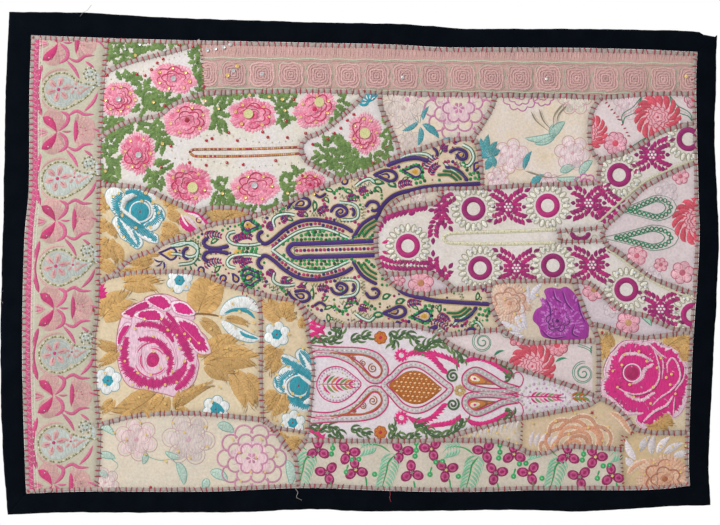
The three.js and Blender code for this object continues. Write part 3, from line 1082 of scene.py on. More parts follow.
def sew_column_paisley(work, level):
    at = column_places(level)
    body, eye, small, curl = at((-460, 0), (-464, 2), (-438, 4), (-416, 26))
    work.dome(body, 27, COLUMN_GREY, rise=0.4, points=26)
    work.stroke(curve(at((-452, -6), (-438, -2), (-422, 3), (-408, 9), (-399, 9))), 26, COLUMN_GREY, "drop",
                0.35)
    for radius in (19.5, 23.5):
        work.stroke(arc(body, radius, 20, 330), 0.6, tint(226, 228, 220), rise=0.6)
    for centre, size, count in ((eye, 21, 6), (small, 12, 5)):
        round_petals(work, centre, 1, size, count, 0.52 * size, COLUMN_ROSE, 15, rise=0.7)
        round_petals(work, centre, 3, 0.8 * size, count, 0.1 * size, COLUMN_PINK, 15, rise=1.0)
        work.dome(centre, 0.16 * size, COLUMN_MAGENTA, rise=1.1, points=8)
    petal(work, *at((-432, -7), (-413, 6)), 6, COLUMN_ROSE, 0.15)
    outline = curve(at((-397, 8), (-406, 8), (-416, 10), (-427, 12), (-438, 17), (-446, 24), (-460, 28),
                       (-476, 23), (-486, 10), (-488, 0), (-484, -14), (-474, -24), (-460, -28),
                       (-453, -27), (-440, -21), (-425, -12), (-413, 0), (-406, 13)))
    work.stroke(outline, 2.6, tint(190, 186, 150), rise=0.6)
    ring_of_dots(work, outline, 4.2, 1.8, [COLUMN_OLIVE, tint(230, 228, 210), COLUMN_OLIVE], rise=1.3)
    for radius in (9.5, 4.5):
        ring_of_dots(work, arc(curl, radius, -60, 250), 3.8, 1.8, [COLUMN_OLIVE, tint(226, 226, 210)],
                     rise=1.3)
    work.dome(curl, 8, COLUMN_GREY, rise=0.4)
    work.stroke(curve(at((-407, 5), (-402, 16), (-406, 27), (-414, 31))), 8, COLUMN_GREY, "drop", 0.45)
    for ends in (at((-495, 2), (-494, 22), (-489, 41)), at((-495, -2), (-495, -20), (-490, -39))):
        work.stroke(curve(ends), 7.6, COLUMN_BRIGHT, "petal", 0.9)
    work.stroke(curve(at((-494, 16), (-496, 0), (-495, -16))), 3.0, COLUMN_BRIGHT, rise=0.8)
    work.stroke(arc(body, 33, 70, 160), 4.6, COLUMN_ROSE, "crescent", 0.5)
    work.stroke(arc(body, 33, 200, 290), 4.6, COLUMN_ROSE, "crescent", 0.5)


def sew_column_lily(work, level):
    """A lily lying on its side between two pale discs."""
    at = column_places(level)
    heart, stalk = at((-467, -63.5), (-480, -64))
    for centre, turn in zip(at((-471, -46), (-472, -81)), (90, -90)):
        for k in range(7):
            tip = polar(centre, 17, turn - 75 + 25 * k)
            petal(work, heart, tip, 9, COLUMN_ROSE, rise=0.35)
            petal(work, heart, tip, 0.2, COLUMN_PINK, rise=0.6)
    for place in at((-473, -43), (-474, -83)):
        work.dome(place, 17, COLUMN_ROSE, rise=0.25, points=20)
    for k in range(5):
        petal(work, stalk, polar(stalk, 17, 152 + 14 * k), 4.6, (COLUMN_ROSE, COLUMN_PINK)[k % 2], rise=0.5)
    for way, end in zip((-1, 1), at((-489, -40), (-491, -90))):
        line = bowed(heart, end, 0.1 * way)
        work.stroke(line, 14, COLUMN_MAGENTA, "petal", 1.0)
        work.stroke(line[2:-2], 0.6, COLUMN_ROSE, "taper", 1.3)
        ring_of_dots(work, [polar(end, 9, 40 * way), polar(end, 15, 10 * way)], 3.4, 1.5,
                     [COLUMN_OLIVE, WHITE], rise=1.2)


COLUMN_ARCS = [     # width and places of the curved strokes below a paisley
    (6.6, [(-462, -31), (-450, -38), (-452, -50), (-464, -62)]),
    (6.6, [(-464, -63), (-453.5, -73), (-453, -86), (-465, -95)]),
    (5.4, [(-452, -40), (-437, -31), (-425, -36), (-409, -36)]),
    (5.4, [(-425, -32), (-411, -17), (-404, -2)]),
    (5.4, [(-452, -85), (-438, -91), (-425, -83), (-410, -82)]),
    (5.4, [(-453, -90), (-441, -104), (-434, -118)]), (4.0, [(-425, -91), (-411, -101)]),
    (3.0, [(-459, -62), (-452, -63), (-444, -62)]), (3.4, [(-412, -58), (-402, -62), (-396, -70)]),
]


def sew_column_scrolls(work, level):
    """The pale half flower right of the lily, its spindle and the curved strokes round it."""
    at = column_places(level)
    heart, bead, middle = at((-438, -61), (-428, -61), (-423, -61))
    work.dome(middle, 19, COLUMN_ROSE, rise=0.25, points=20, squash=1.25)
    for k in range(12):
        bearing = -82 + 15 * k
        petal(work, polar(heart, 6, bearing), polar(heart, 28, bearing), 7.6, COLUMN_ROSE, rise=0.45)
        vein = bowed(polar(heart, 9, bearing + 6), polar(heart, 25, bearing + 6), 0)
        work.stroke(vein, 0.2, COLUMN_PINK, "taper", 0.8)
    work.stroke(bowed(*at((-438, -42), (-439, -80)), 0.03), 8, mixed(COLUMN_MAGENTA, COLUMN_BRIGHT, 0.5),
                "crescent", 1.0)
    ring_of_dots(work, arc(bead, 6, 0, 360), 4, 1.4, [tint(206, 196, 160), COLUMN_PINK], rise=1.2)
    for width, places in COLUMN_ARCS:
        work.stroke(curve(at(*places)), width, COLUMN_PINK, "crescent", 0.9)


BAND_CREAM = tint(220, 176, 172)
# BAND_DARK is the band's pink a little darker: partly painted shade between the raised rings of its
# self-coloured roses, partly the colour of its darker lines.
BAND_DARK = tint(208, 162, 158)
BAND_MINT = tint(192, 198, 172)


def band_level(x):
    """Where the middle of the band's roses lies."""
    return -79 - 0.0128 * (x + 194.6)


def squared(centre, radius, turn):
    """A closed line round a centre, nearly square and a little uneven."""
    bearings = np.radians(np.arange(0, 361, 9))
    reach = radius / (np.abs(np.cos(bearings)) ** 5 + np.abs(np.sin(bearings)) ** 5) ** 0.2
    reach *= 1 + 0.05 * np.sin(7 * bearings + turn)
    return np.asarray(centre) + reach[:, None] * np.stack([np.cos(bearings), np.sin(bearings)], axis=1)


def sew_band(work):
    """Square roses worked in the cloth's own pink, in a row under a ribbed strip."""
    x = np.arange(-245, 525, 6.0)
    for rise, width, colour in ((24.5, 2.2, BAND_MINT), (21, 1.0, BAND_DARK), (-22, 2.2, BAND_MINT)):
        line = np.stack([x, band_level(x) + rise + 0.8 * np.sin(x / 7.0)], axis=1)
        work.stroke(line, width, colour, rise=0.9)
    for x in np.arange(-244, 524, 4.3):
        z = band_level(x)
        work.stroke([(x, z + 27), (x + 2 * math.sin(x), z + 36), (x, z + 50)], 2.4,
                    mixed(BAND_DARK, BAND_CREAM, RNG.uniform(0, 1)), "crescent", 0.6)
    for k in range(-1, 17):
        x = -194.6 + 44 * k
        z = band_level(x)
        for ring, radius in enumerate((17.5, 13.5, 9.8, 6.2, 2.8)):
            # Painted shade in part: alternate rings lean towards BAND_DARK, for the shade between raised
            # rings.
            shade = mixed(BAND_CREAM, BAND_DARK, 0.5 * (ring % 2) + RNG.uniform(0, 0.3))
            work.stroke(squared((x, z), radius, 40 * k + 2 * ring), 3.0, shade, rise=0.8 + 0.1 * ring)
        for lean in (0, 90, 180, 270):
            work.stroke(bowed(polar((x, z), 5, 45 + lean), polar((x, z), 17, 40 + lean), 0.1), 1.4, BAND_DARK,
                        "taper", 1.3)
        work.stroke(squared((x, z), 19.6, 30 * k), 1.0, BAND_MINT, rise=0.8)
    sequins("silver", [(-235, -42), (-223, -40), (-210, -38), (-200, -34), (-195, -74), (-151, -79),
                       (65, -84), (286, -86)])
    sequins("gold", [(-189, -67), (-204, -81), (503, -48), (500, -83)])


def gold_ring(centre, wide, tall, tilt, count=7):
    """Gold sequins among the outer petals of a rose."""
    for k in range(count):
        reach = polar((0, 0), 1, 360 * k / count + RNG.uniform(-12, 12)) * (0.72 * wide, 0.72 * tall)
        sequins("gold", turned(np.array([reach]), tilt, centre), 2.1)


# Ovals filled with leaves: their middles, half-widths and half-heights.
CORNER_ZONES = [(-372, -42, 34, 20), (-330, -34, 30, 12), (-290, -28, 26, 9)]
STRIP_ZONES = [(-248, -62, 14, 34), (-246, -104, 14, 16), (-334, -112, 32, 28), (-296, -124, 34, 14),
               (-390, -158, 26, 18), (-358, -86, 16, 12)]
YOKE_ZONES = [(-392, -205, 26, 50), (-352, -166, 40, 16), (-308, -176, 18, 24), (-310, -232, 24, 22),
              (-216, -136, 20, 32), (-120, -130, 20, 30), (-34, -130, 16, 26), (-210, -262, 20, 26),
              (-114, -262, 20, 26), (-165, -287, 50, 8), (-300, -284, 30, 10), (-96, -232, 12, 10),
              (-250, -118, 16, 10), (-166, -114, 30, 6)]
TULIP_ZONES = [(-36, -206, 36, 34), (4, -214, 26, 20), (38, -178, 12, 32)]


def sew_leaf_corner(work):
    """Green leaves on white, the end of a rose border."""
    for k in range(4):
        petal(work, (-390, -30), (-396 + 7 * k, -14 - 3 * k), 6, PINK, 0.1)
    thicket(work, CORNER_ZONES)
    sequins("silver", [(-340, -33), (-322, -26), (-362, -40), (-300, -42)], 2.0)
    sequins("gold", [(-346, -50)], 2.2)
    stones([(-277.5, -34.5), (-257.5, -36.9), (-303, -56)])


def sew_rose_strip(work):
    full_rose(work, (-372, -117), 28, 20, 0.92)
    full_rose(work, (-287, -86), 35, -8, 0.64)
    thicket(work, STRIP_ZONES)
    gold_ring((-372, -117), 28, 26, 20)
    gold_ring((-287, -86), 35, 22, -8)
    sequins("silver", [(-372, -117), (-287, -86)], 4.2)
    sequins("gold", [(-318, -122), (-245, -64), (-239, -120), (-346, -118)], 2.2)
    stones([(-321, -72), (-331, -81), (-343.5, -79), (-389.5, -80), (-312, -62)])
    ring_of_dots(work, curve([(-400, -92), (-370, -82), (-335, -74), (-300, -58), (-262, -46)]), 8.5, 1.4,
                 [tint(224, 214, 186), WHITE], rise=1.4)


YOKE_ROSES = [      # place, half-width, half-height, tilt
    ((-342, -200), 27, 32, 0), ((-266, -150), 36, 27, 10), ((-166, -142), 36, 25, -4),
    ((-70, -133), 34, 26, 35), ((-264, -248), 36, 29, -20), ((-162, -253), 36, 26, 0),
    ((-77, -249), 23, 21, 0),
]


def sew_rose_yoke(work):
    """Pink roses and leaves round the slit of a garment's yoke."""
    for number, (place, wide, tall, tilt) in enumerate(YOKE_ROSES):
        tones = (PINK, PALE_PINK, ROSE_RED) if number % 2 else (tint(228, 96, 138), PALE_PINK, ROSE_RED)
        full_rose(work, place, wide, tilt, tall / wide, tones, DARK_RED if number == 1 else ROSE_RED)
        gold_ring(place, wide, tall, tilt, 6)
    thicket(work, YOKE_ZONES)
    sequins("cream", [(-172, -140), (-63, -122), (-258, -253)], 7.6)
    sequins("silver", [(-341, -203), (-163, -250)], 4.5)
    sequins("gold", [(-218, -132), (-170, -111), (-140, -114), (-120, -118), (-116, -135), (-304, -186),
                     (-212, -262), (-112, -262), (-392, -228)], 2.2)
    beaded_slit(work, [(-262, -198.5), (-258, -195.5), (-246, -194.7), (-170, -194), (-92, -191.2)],
                [(-262, -198.5), (-258, -203), (-246, -205.3), (-160, -204.5), (-92, -201)])
    stones([(-291, -189.5), (-236.5, -181), (-228, -178), (-202.5, -169), (-189, -181), (-142, -176),
            (-114, -151.4), (-112, -176.5), (-262.5, -215), (-237, -219), (-89, -235), (-84, -170),
            (-150, -168), (-205, -215), (-180, -218), (-130, -212), (-300, -128), (-102, -118), (-306, -222)])
    for places in ([(-290, -196), (-272, -180), (-215, -172), (-150, -184), (-95, -180)],
                   [(-285, -208), (-230, -212), (-190, -222), (-130, -218), (-96, -214)]):
        ring_of_dots(work, curve(places), 10, 1.5, [tint(224, 206, 180), WHITE], rise=1.4)


def beaded_slit(work, *edges):
    """A slit bound with beads of gold, orange and red."""
    for line in edges:
        line = curve(line, 2.5)
        work.stroke(line, 4.4, tint(150, 96, 60), rise=0.5)
        for place in resampled(line, 3.2):
            colour = (tint(222, 176, 98), tint(228, 142, 84), tint(196, 60, 70), tint(232, 186, 166))[
                int(RNG.integers(4))]
            work.dome(place, 2.1, colour, rise=1.8, rings=(0.6, 1.0), points=7)


def sew_tulip_yoke(work):
    """A tall rose over a bank of small leaves."""
    full_rose(work, (7, -170), 25, 0, 1.24)
    thicket(work, TULIP_ZONES, 15, 10, 2.4, 5.0)
    gold_ring((7, -170), 25, 31, 0)
    sequins("cream", [(7, -170)], 7.6)
    stones([(-73, -187), (-50, -179), (-30, -162), (-10, -141), (-40, -170), (-20, -150)])
    for k in range(5):
        bearing = 40 + 36 * k
        petal(work, (14, -122), polar((14, -122), 18, bearing), 9, TEAL, 0.12)
        petal(work, polar((14, -122), 4, bearing), polar((14, -122), 13, bearing), 2.4, WHITE, 0.12, rise=1.2)


# ---- Patches: printed flowers at the top right -------------------------------

PRINT_LILAC = tint(204, 132, 168)
PRINT_BLUSH = tint(228, 196, 202)
PRINT_TEAL = tint(84, 156, 158)
PRINT_PALE_TEAL = tint(162, 200, 194)
STEM_BROWN = tint(152, 140, 120)
SCALLOP_LILAC = tint(208, 124, 178)


def print_leaf(work, base, tip, width, colour, pale):
    """A printed leaf: pale, with its outline and veins stitched darker."""
    leaf(work, base, tip, width, pale, colour, 0.1, rise=0.3)
    line = bowed(base, tip, 0.1, 11)
    half = (width / 2 * SHAPES["leaf"](np.linspace(0, 1, 11)))[:, None]
    for way in (-1, 1):
        work.stroke(line + way * half * across(line), 1.5, colour, rise=0.5)


def ghost_flower(work, centre, size, line=None, fill=None, turn=0.0):
    """A faded printed flower of broad ruffled petals."""
    line = tint(196, 172, 170) if line is None else line
    fill = tint(222, 206, 198) if fill is None else fill
    for share, count in ((0.66, 6), (0.34, 5)):
        for k in range(count):
            middle = polar(centre, share * size, turn + 360 * (k + share) / count)
            work.dome(middle, 0.36 * size, fill, rise=0.22, rings=(0.6, 1.0), points=14)
            bearing = turn + 360 * k / count
            work.stroke(arc(middle, 0.36 * size, bearing - 120, bearing + 140), 1.5, line, rise=0.4)
    work.dome(centre, 0.12 * size, line, rise=0.5, points=8)


def sew_peony(work):
    ghost_flower(work, (66, -131), 34, turn=20)
    ghost_flower(work, (75, -184), 20, tint(206, 190, 176))
    peony(work, (151, -131), 49, PRINT_LILAC, PRINT_BLUSH, 2.6, 0.96)
    for base, tip, width in (((95, -156), (121, -178), 12), ((92, -160), (88, -190), 10),
                             ((88, -152), (64, -166), 9), ((118, -188), (150, -180), 10),
                             ((96, -150), (106, -128), 7)):
        leaf(work, base, tip, width, mixed(TEAL, PRINT_TEAL, 0.5), WHITE, 0.1, 0.2)
    for start, end in (((92, -155), (74, -120)), ((92, -155), (110, -118)), ((60, -110), (90, -112))):
        work.stroke(bowed(start, end, 0.12, 10), 1.2, PRINT_TEAL, "taper", 0.6)
    for place in ((72, -118), (112, -114), (90, -112)):
        work.dome(place, 4, PRINT_LILAC, rise=0.6)


def sew_meadow(work):
    """A print of half-hidden flowers, stems and pale leaves."""
    pale_line, petal_fill = tint(222, 168, 182), tint(236, 214, 216)
    for place, size, lobes in (((246, -106), 30, 11), ((246, -106), 21, 9), ((246, -106), 12, 7),
                               ((281, -110), 18, 9), ((281, -110), 9, 7)):
        work.stroke(scalloped(place, size, lobes, 170, 370), 2.0, SCALLOP_LILAC, rise=0.7)
    ghost_flower(work, (330, -116), 26, pale_line, tint(226, 216, 200), 20)
    for centre, size, turn in (((326, -200), 27, 10), ((232, -205), 27, 40), ((212, -240), 18, 0),
                               ((290, -246), 16, 0)):
        ghost_flower(work, centre, size, pale_line, petal_fill, turn)
    for places in ([(263, -137), (271, -151), (292, -168)], [(275, -133), (282, -151), (298, -168)],
                   [(317, -127), (304, -143), (302, -164)], [(311, -125), (298, -143), (298, -164)],
                   [(254, -228), (290, -238), (316, -232)]):
        scroll(work, places, 2.6, STEM_BROWN)
        scroll(work, np.array(places) + (2.4, 0.8), 0.6, tint(206, 200, 176), rise=0.9)
    for base, tip, width in (((302, -170), (253, -177), 11), ((300, -172), (268, -186), 9),
                             ((294, -178), (315, -152), 13), ((298, -178), (296, -156), 9),
                             ((308, -230), (330, -222), 12), ((338, -234), (357, -212), 12),
                             ((336, -238), (300, -238), 9)):
        print_leaf(work, base, tip, width, tint(120, 172, 164), tint(186, 214, 200))
    for tip in ((185, -177), (197, -171), (211, -182), (216, -196), (183, -194), (207, -222), (192, -226)):
        leaf(work, (199, -206), tip, 13, mixed(TEAL, PRINT_TEAL, RNG.uniform(0.2, 0.9)),
             tint(206, 226, 224), 0.1, 0.25)
    for base, tip, width in (((252, -226), (264, -197), 10), ((263, -254), (283, -233), 13)):
        leaf(work, base, tip, width, mixed(TEAL, PRINT_TEAL, 0.6), tint(206, 226, 224), 0.1, 0.25)
    for share in (1.0, 0.62):
        work.stroke(scalloped((346, -252), 20 * share, 9, 20, 200), 2.2, SCALLOP_LILAC, rise=0.7)
    for k in range(5):
        petal(work, (346, -252), polar((346, -252), 17, 30 + 30 * k), 6, tint(228, 164, 178), 0.08, rise=0.4)


def sew_dahlia(work):
    ghost_flower(work, (412, -125), 24, tint(214, 178, 188), tint(226, 204, 208))
    for line in ([(432, -114), (421, -133), (405, -143), (403, -156)],
                 [(475, -112), (485, -131), (504, -141), (510, -152)],
                 [(380, -208), (410, -200), (440, -176)], [(500, -112), (512, -128), (520, -130)]):
        line = curve(line)
        swell = 4.2 * np.sin(np.linspace(0, math.pi, len(line)))[:, None]
        for way in (-1, 1):
            work.stroke(line + way * swell * across(line), 1.4, JADE, rise=0.8)
        work.stroke(line, 0.5, JADE, "taper", 0.8)
    dahlia(work, (456.5, -145.4), 35, 8)
    dahlia(work, (352, -168), 27, 0)
    daisy(work, (391.7, -185.5), 18, 8, tint(236, 178, 192), tint(214, 100, 134), 15, CORAL)
    daisy(work, (512, -118), 15, 6, tint(236, 178, 192), tint(214, 110, 140), 0, CORAL)


# ---- Patches: the ringed yoke and its neck -----------------------------------

RINGS = [(73, -343), (174, -286), (288, -281), (397.5, -234), (504, -179), (184, -377), (296, -373),
         (409, -410), (511, -449)]
SPRIGS = [(228, -283), (240, -377), (351, -277), (356, -372), (448, -203), (462, -440)]
OLIVE_CORD = tint(218, 212, 182)


def ring_flower(work, centre):
    """A stitched ring inside a wreath of long loops."""
    for k in range(20):
        bearing = 18 * k
        middle = polar(centre, 28.3, bearing)
        petal(work, polar(centre, 21.5, bearing), polar(centre, 35, bearing), 6.6, tint(242, 238, 224),
              rise=0.6)
        loop = turned(arc((0, 0), 6.2, 0, 360, 1.8, squash=0.58), bearing, middle)
        work.stroke(loop, 0.5, mixed(tint(176, 172, 130), OLIVE_CREAM, RNG.uniform(0, 0.7)), rise=1.0)
    work.stroke(arc(centre, 14.4, 0, 360, 2.0), 8.6, mixed(MAGENTA, DEEP_MAGENTA, RNG.uniform(0.5, 1)),
                rise=1.2)
    sequins("silver", [polar(centre, 29.5, 54 * k + 9) for k in range(7)], 2.2)


def leaf_row(work, line, pitch=6.2, reach=11.4, width=6.8, lean=48, sides=(-1, 1)):
    """Small solid leaves in pairs along a line, and one at its end."""
    nodes = resampled(curve(line), pitch)
    for before, node in zip(nodes, nodes[1:]):
        heading = bearing_to(before, node)
        for side in sides:
            colour = mixed(MAGENTA, DEEP_MAGENTA, RNG.uniform(0.4, 1))
            petal(work, before, polar(before, reach, heading + side * lean), width, colour, 0.1 * side,
                  rise=0.9)
    petal(work, nodes[-1], polar(nodes[-1], reach, heading), width, DEEP_MAGENTA, rise=0.9)


def sprig(work, centre):
    """Leafy branches crossing at a pearly blossom."""
    for across_by, up_by in ((27, 22), (-27, 22), (-27, -22), (27, -22)):
        middle = np.array(centre) + (0.3 * across_by, 0.6 * up_by)
        leaf_row(work, [centre, middle, np.array(centre) + (across_by, up_by) + RNG.uniform(-3, 3, 2)])
    for side in (-1, 1):
        leaf_row(work, [np.array(centre) + (5 * side, 0), np.array(centre) + (20 * side, 0)], 5.0, 8.0)
    for k in range(7):
        work.dome(polar(centre, 5.2 if k else 0, 60 * k), 2.5, WHITE, rise=1.6, points=8)


def corded_slit(work, *edges):
    """A slit bound with thick twisted cords."""
    for line in edges:
        line = curve(line, 2.2)
        work.stroke(line, 5.6, OLIVE_CORD, rise=1.1)
        ring_of_dots(work, line, 5.2, 1.3, [tint(228, 226, 220), tint(196, 176, 112)], rise=1.9)
        for place, side in zip(line[::2], across(line)[::2]):
            twist = [place - 2.8 * side, place + (1.4, 0), place + 2.8 * side]
            work.stroke(twist, 0.2, tint(140, 134, 76), "line", 1.4)


def sew_ring_yoke(work):
    for place in SPRIGS:
        sprig(work, place)
    for way in (1, -1):
        def at(x, rise, way=way):
            return (x, -345 + way * rise)

        leaf_row(work, [at(118, 83), at(128, 55), at(114, 35), at(112, 15)])
        leaf_row(work, [at(144, 79), at(120, 61), at(136, 33)])
        leaf_row(work, [at(36, 38), at(60, 48), at(104, 56)], 6.0, sides=(way,))
        leaf_row(work, [at(32, 24), at(44, 40), at(74, 50)], 6.4, sides=(way,))
        petal(work, at(33, 6), at(46, 11), 5.5, MAGENTA)
    leaf_row(work, [(28, -364), (52, -372), (108, -374)], 6.0)
    leaf_row(work, [(372, -252), (384, -268), (402, -280)], 6.0)
    leaf_row(work, [(366, -290), (384, -292), (396, -302)], 6.0)
    for place in RINGS:
        ring_flower(work, place)
    work.stroke(arc((338, -322), 13, 180, 360, 2.0, squash=0.8), 8, DEEP_MAGENTA, rise=0.8)
    for k in range(6):
        work.stroke(arc((312 + 12 * k, -330), 4, 0, 180, 1.8), 1.5, OLIVE_CREAM, rise=0.7)
    corded_slit(work,
                [(300, -318), (220, -321), (150, -323), (134, -325), (128, -331), (134, -337), (150, -339),
                 (210, -340), (300, -338)])
    for width, line in ((4.4, [(366, -306), (382, -292), (408, -268), (438, -244), (470, -228), (525, -206)]),
                        (4.0, [(376, -346), (400, -362), (430, -384), (470, -408), (525, -428)])):
        work.stroke(curve(line), width, OLIVE_CORD, rise=1.0)


def sew_ring_insert_top(work):
    for x, z in ((52, -290), (67.5, -289), (103.5, -285)):
        daisy(work, (x, z), 6, 5, PRINT_PALE_TEAL, TEAL)
    ghost_flower(work, (88, -268), 13)


def sew_ring_insert_bottom(work):
    daisy(work, (93, -400), 20, 6, tint(238, 176, 188), tint(214, 110, 134), 10, tint(190, 130, 90))
    daisy(work, (60, -396), 9, 5, tint(238, 176, 188), tint(214, 110, 134))


def ring_chain(work, centre, angle, length, height):
    """A long drop drawn with a chain of small green rings between fine outlines."""
    for size, width in ((1.16, 0.6), (0.58, 1.6)):
        outline = turned(paisley_outline(size * length, size * height, 0.0), angle, centre)
        work.stroke(resampled(outline, 2.5), width, tint(76, 150, 118), rise=0.8)
    chain = turned(paisley_outline(0.84 * length, 0.84 * height, 0.0), angle, centre)
    for place in resampled(chain, 7.0)[1:]:
        work.stroke(arc(place, 2.8, 0, 360, 1.4), 1.7, tint(30, 146, 96), rise=1.1)


def sew_neck(work):
    ring_chain(work, (453, -285), 184, 82, 34)
    ring_chain(work, (447, -330.5), 180, 104, 34)
    ghost_flower(work, (470, -262), 18, tint(214, 194, 200), tint(226, 210, 214))
    dahlia(work, (515, -305), 35, 8)
    for place, size in (((425, -358), 16), ((495, -384), 18), ((492, -236), 13), ((462, -372), 11)):
        daisy(work, place, size, 6, tint(240, 186, 196), tint(222, 120, 144), 12, tint(214, 110, 130))
    ghost_flower(work, (450, -388), 14, tint(214, 194, 200), tint(226, 210, 214))


# ---- Patches: the paisley yoke -----------------------------------------------

BEAD_MAGENTA = tint(164, 26, 96)
BEAD_GREEN = tint(18, 136, 66)
MINT_CORD = tint(212, 234, 224)
GOLD_CORD = tint(214, 186, 132)
FOREST = tint(18, 108, 68)


def corded(work, line, width, colour=PURPLE):
    """A cord with a finer gold one on each side."""
    line, width = curve(line, 2.2), 1.2 * width
    for way in (-1, 1):
        work.stroke(line + way * (width / 2 + 0.9) * across(line), 1.5, GOLD_CORD, rise=0.9)
    work.stroke(line, width, colour, rise=1.3)


def mint_cord(work, line, way=1):
    """A pale cord with a green one beside it."""
    line = curve(line, 2.2)
    for lean in (-2.4, 2.4):
        work.stroke(line + way * lean * across(line), 1.2, FOREST, rise=0.8)
    work.stroke(line, 2.6, MINT_CORD, rise=1.1)


def gold_drop(work, centre, angle, length, width, curl=0.25, beads=None):
    """A drop with a gold heart, a purple cord and sometimes a ring of beads."""
    if beads is not None:
        outline = turned(paisley_outline(1.16 * length, 1.35 * width, 0.0), angle, centre)
        ring_of_dots(work, outline, 4.4, 2.7, [beads, tint(40, 176, 92), tint(14, 84, 44)], rise=1.3)
    paisley(work, centre, angle, length, width, curl,
            [(0.98, 3.4, PURPLE), (0.76, 0, GOLD_CORD), (0.52, 0, tint(206, 150, 44))])


def feathers(work, base, tip, colour, count=5, reach=9.0, edging=None):
    """A line of short spines on both sides of a stem."""
    line = bowed(base, tip, 0.12, count + 2)
    work.stroke(line, 1.0, colour, "taper", rise=0.9)
    heading = bearing_to(line[0], line[-1])
    for k in range(count + 1):
        for way in (-1, 1):
            petal(work, line[k], polar(line[k], reach * (1 - 0.5 * k / (count + 1)), heading + 50 * way), 3.0,
                  colour if edging is None or k % 2 else edging, 0.1 * way)


def zigzag(work, start, end, teeth, height, colour):
    """A toothed line with a bead in each tooth."""
    t = np.linspace(0, 1, 2 * teeth + 1)[:, None]
    start, end = np.asarray(start, float), np.asarray(end, float)
    run = (end - start) / np.hypot(*(end - start))
    side = np.array([-run[1], run[0]])
    line = start + t * (end - start) + side * height * (np.arange(2 * teeth + 1) % 2)[:, None]
    work.stroke(line, 1.2, colour, rise=0.9)
    for tooth in line[1::2]:
        work.dome(tooth - 0.62 * height * side, 1.5, tint(226, 214, 160), rise=1.2, rings=(0.7, 1.0),
                  points=6)


def green_leaf(work, base, tip, width):
    """A small leaf outlined in green round a pale middle."""
    petal(work, base, tip, width, FOREST, 0.12, rise=0.7)
    line = bowed(base, tip, 0.12)
    petal(work, line[1], line[4], 0.5 * width, tint(214, 208, 164), 0.08, rise=1.0)


YOKE_AXIS = -349

# One half of the paisley yoke's pattern, above its long axis. The other half mirrors it.
YOKE_PURPLE = [
    (4.2, [(-11, -322), (-26, -313), (-49, -306), (-71, -303), (-94, -306), (-116, -318), (-135, -334),
           (-147, -340), (-156, -333), (-156, -325), (-149, -320)]),
    (4.4, [(-202, -343), (-219, -347), (-233, -346), (-240, -341), (-240, -335), (-234, -331)]),
    (3.2, [(-112, -287), (-105, -276), (-92, -269), (-80, -272), (-78, -280), (-86, -286), (-102, -285)]),
    (3.2, [(-46, -292), (-40, -283), (-30, -281), (-21, -287), (-22, -294), (-32, -298), (-38, -292)]),
    (3.0, [(-13, -284), (-9, -291), (-12, -298)]),
    (3.6, [(-12, -332), (1, -312), (14, -302), (26, -296)]),
    (3.2, [(8, -284), (14, -276), (24, -276), (29, -283), (24, -289), (16, -288)]),
    (4.6, [(24, -304), (28, -293), (37, -278), (55, -264), (82, -257), (109, -252), (190, -247)]),
    (3.4, [(21, -234), (40, -227), (53, -231), (55, -239), (46, -244), (32, -238), (21, -234)]),
    (4.8, [(40, -220), (64, -211), (87, -208), (105, -213)]),
    (3.4, [(136, -200), (148, -194), (161, -198), (163, -207), (155, -210), (147, -202)]),
    (4.0, [(130, -221), (146, -225), (158, -234), (165, -244)]),
    (3.0, [(111, -192), (117, -197), (119, -206)]),
    (2.6, [(-72, -262), (-62, -268), (-52, -262)]),
]
YOKE_MINT = [
    [(-136, -349), (-116, -334), (-94, -321), (-71, -316), (-49, -318), (-17, -332)],
    [(-147, -338), (-169, -342), (-194, -340), (-204, -332), (-202, -324), (-192, -321)],
    [(-33, -276), (-12, -279), (-4, -287), (-4, -298), (-12, -303), (-30, -303)],
    [(-132, -315), (-134, -303), (-126, -296), (-112, -294), (-100, -296)],
    [(60, -208), (78, -202), (100, -202), (111, -209)],
    [(157, -187), (170, -195), (174, -208), (166, -220), (156, -217)],
    [(-292, -343), (-278, -342), (-263, -338), (-253, -341), (-249, -349)],
    [(-8, -252), (2, -244), (14, -240), (22, -246)],
    [(128, -213), (136, -222), (148, -230)],
]
YOKE_STRIPES = [
    [(-4, -330), (8, -314), (26, -303)], [(4, -330), (14, -318), (26, -311)],
    [(118, -234), (136, -234), (150, -243)], [(126, -228), (142, -230), (156, -242)],
    [(136, -222), (152, -230), (164, -240)],
]
YOKE_DROPS = [      # place, angle, length, width, curl, whether beads ring it
    ((-172, -311), -8, 28, 18, 0.1, True), ((84, -229), 176, 30, 17, 0.0, True),
    ((-92, -278), -160, 16, 8, 0.1, False), ((38, -236), 170, 18, 8, 0.1, False),
    ((154, -203), -150, 16, 9, 0.1, False), ((-31, -290), -170, 12, 7, 0.1, False),
]
YOKE_FEATHERS = [
    ((-240, -326), (-212, -330)), ((-196, -334), (-176, -330)), ((-186, -326), (-166, -332)),
    ((-66, -292), (-48, -286)), ((-122, -304), (-106, -298)), ((96, -222), (120, -206)),
    ((106, -232), (122, -218)), ((58, -249), (80, -248)), ((-2, -262), (10, -256)),
    ((-84, -294), (-96, -290)), ((-142, -318), (-134, -308)), ((126, -198), (132, -188)),
    ((-20, -268), (-6, -272)),
]
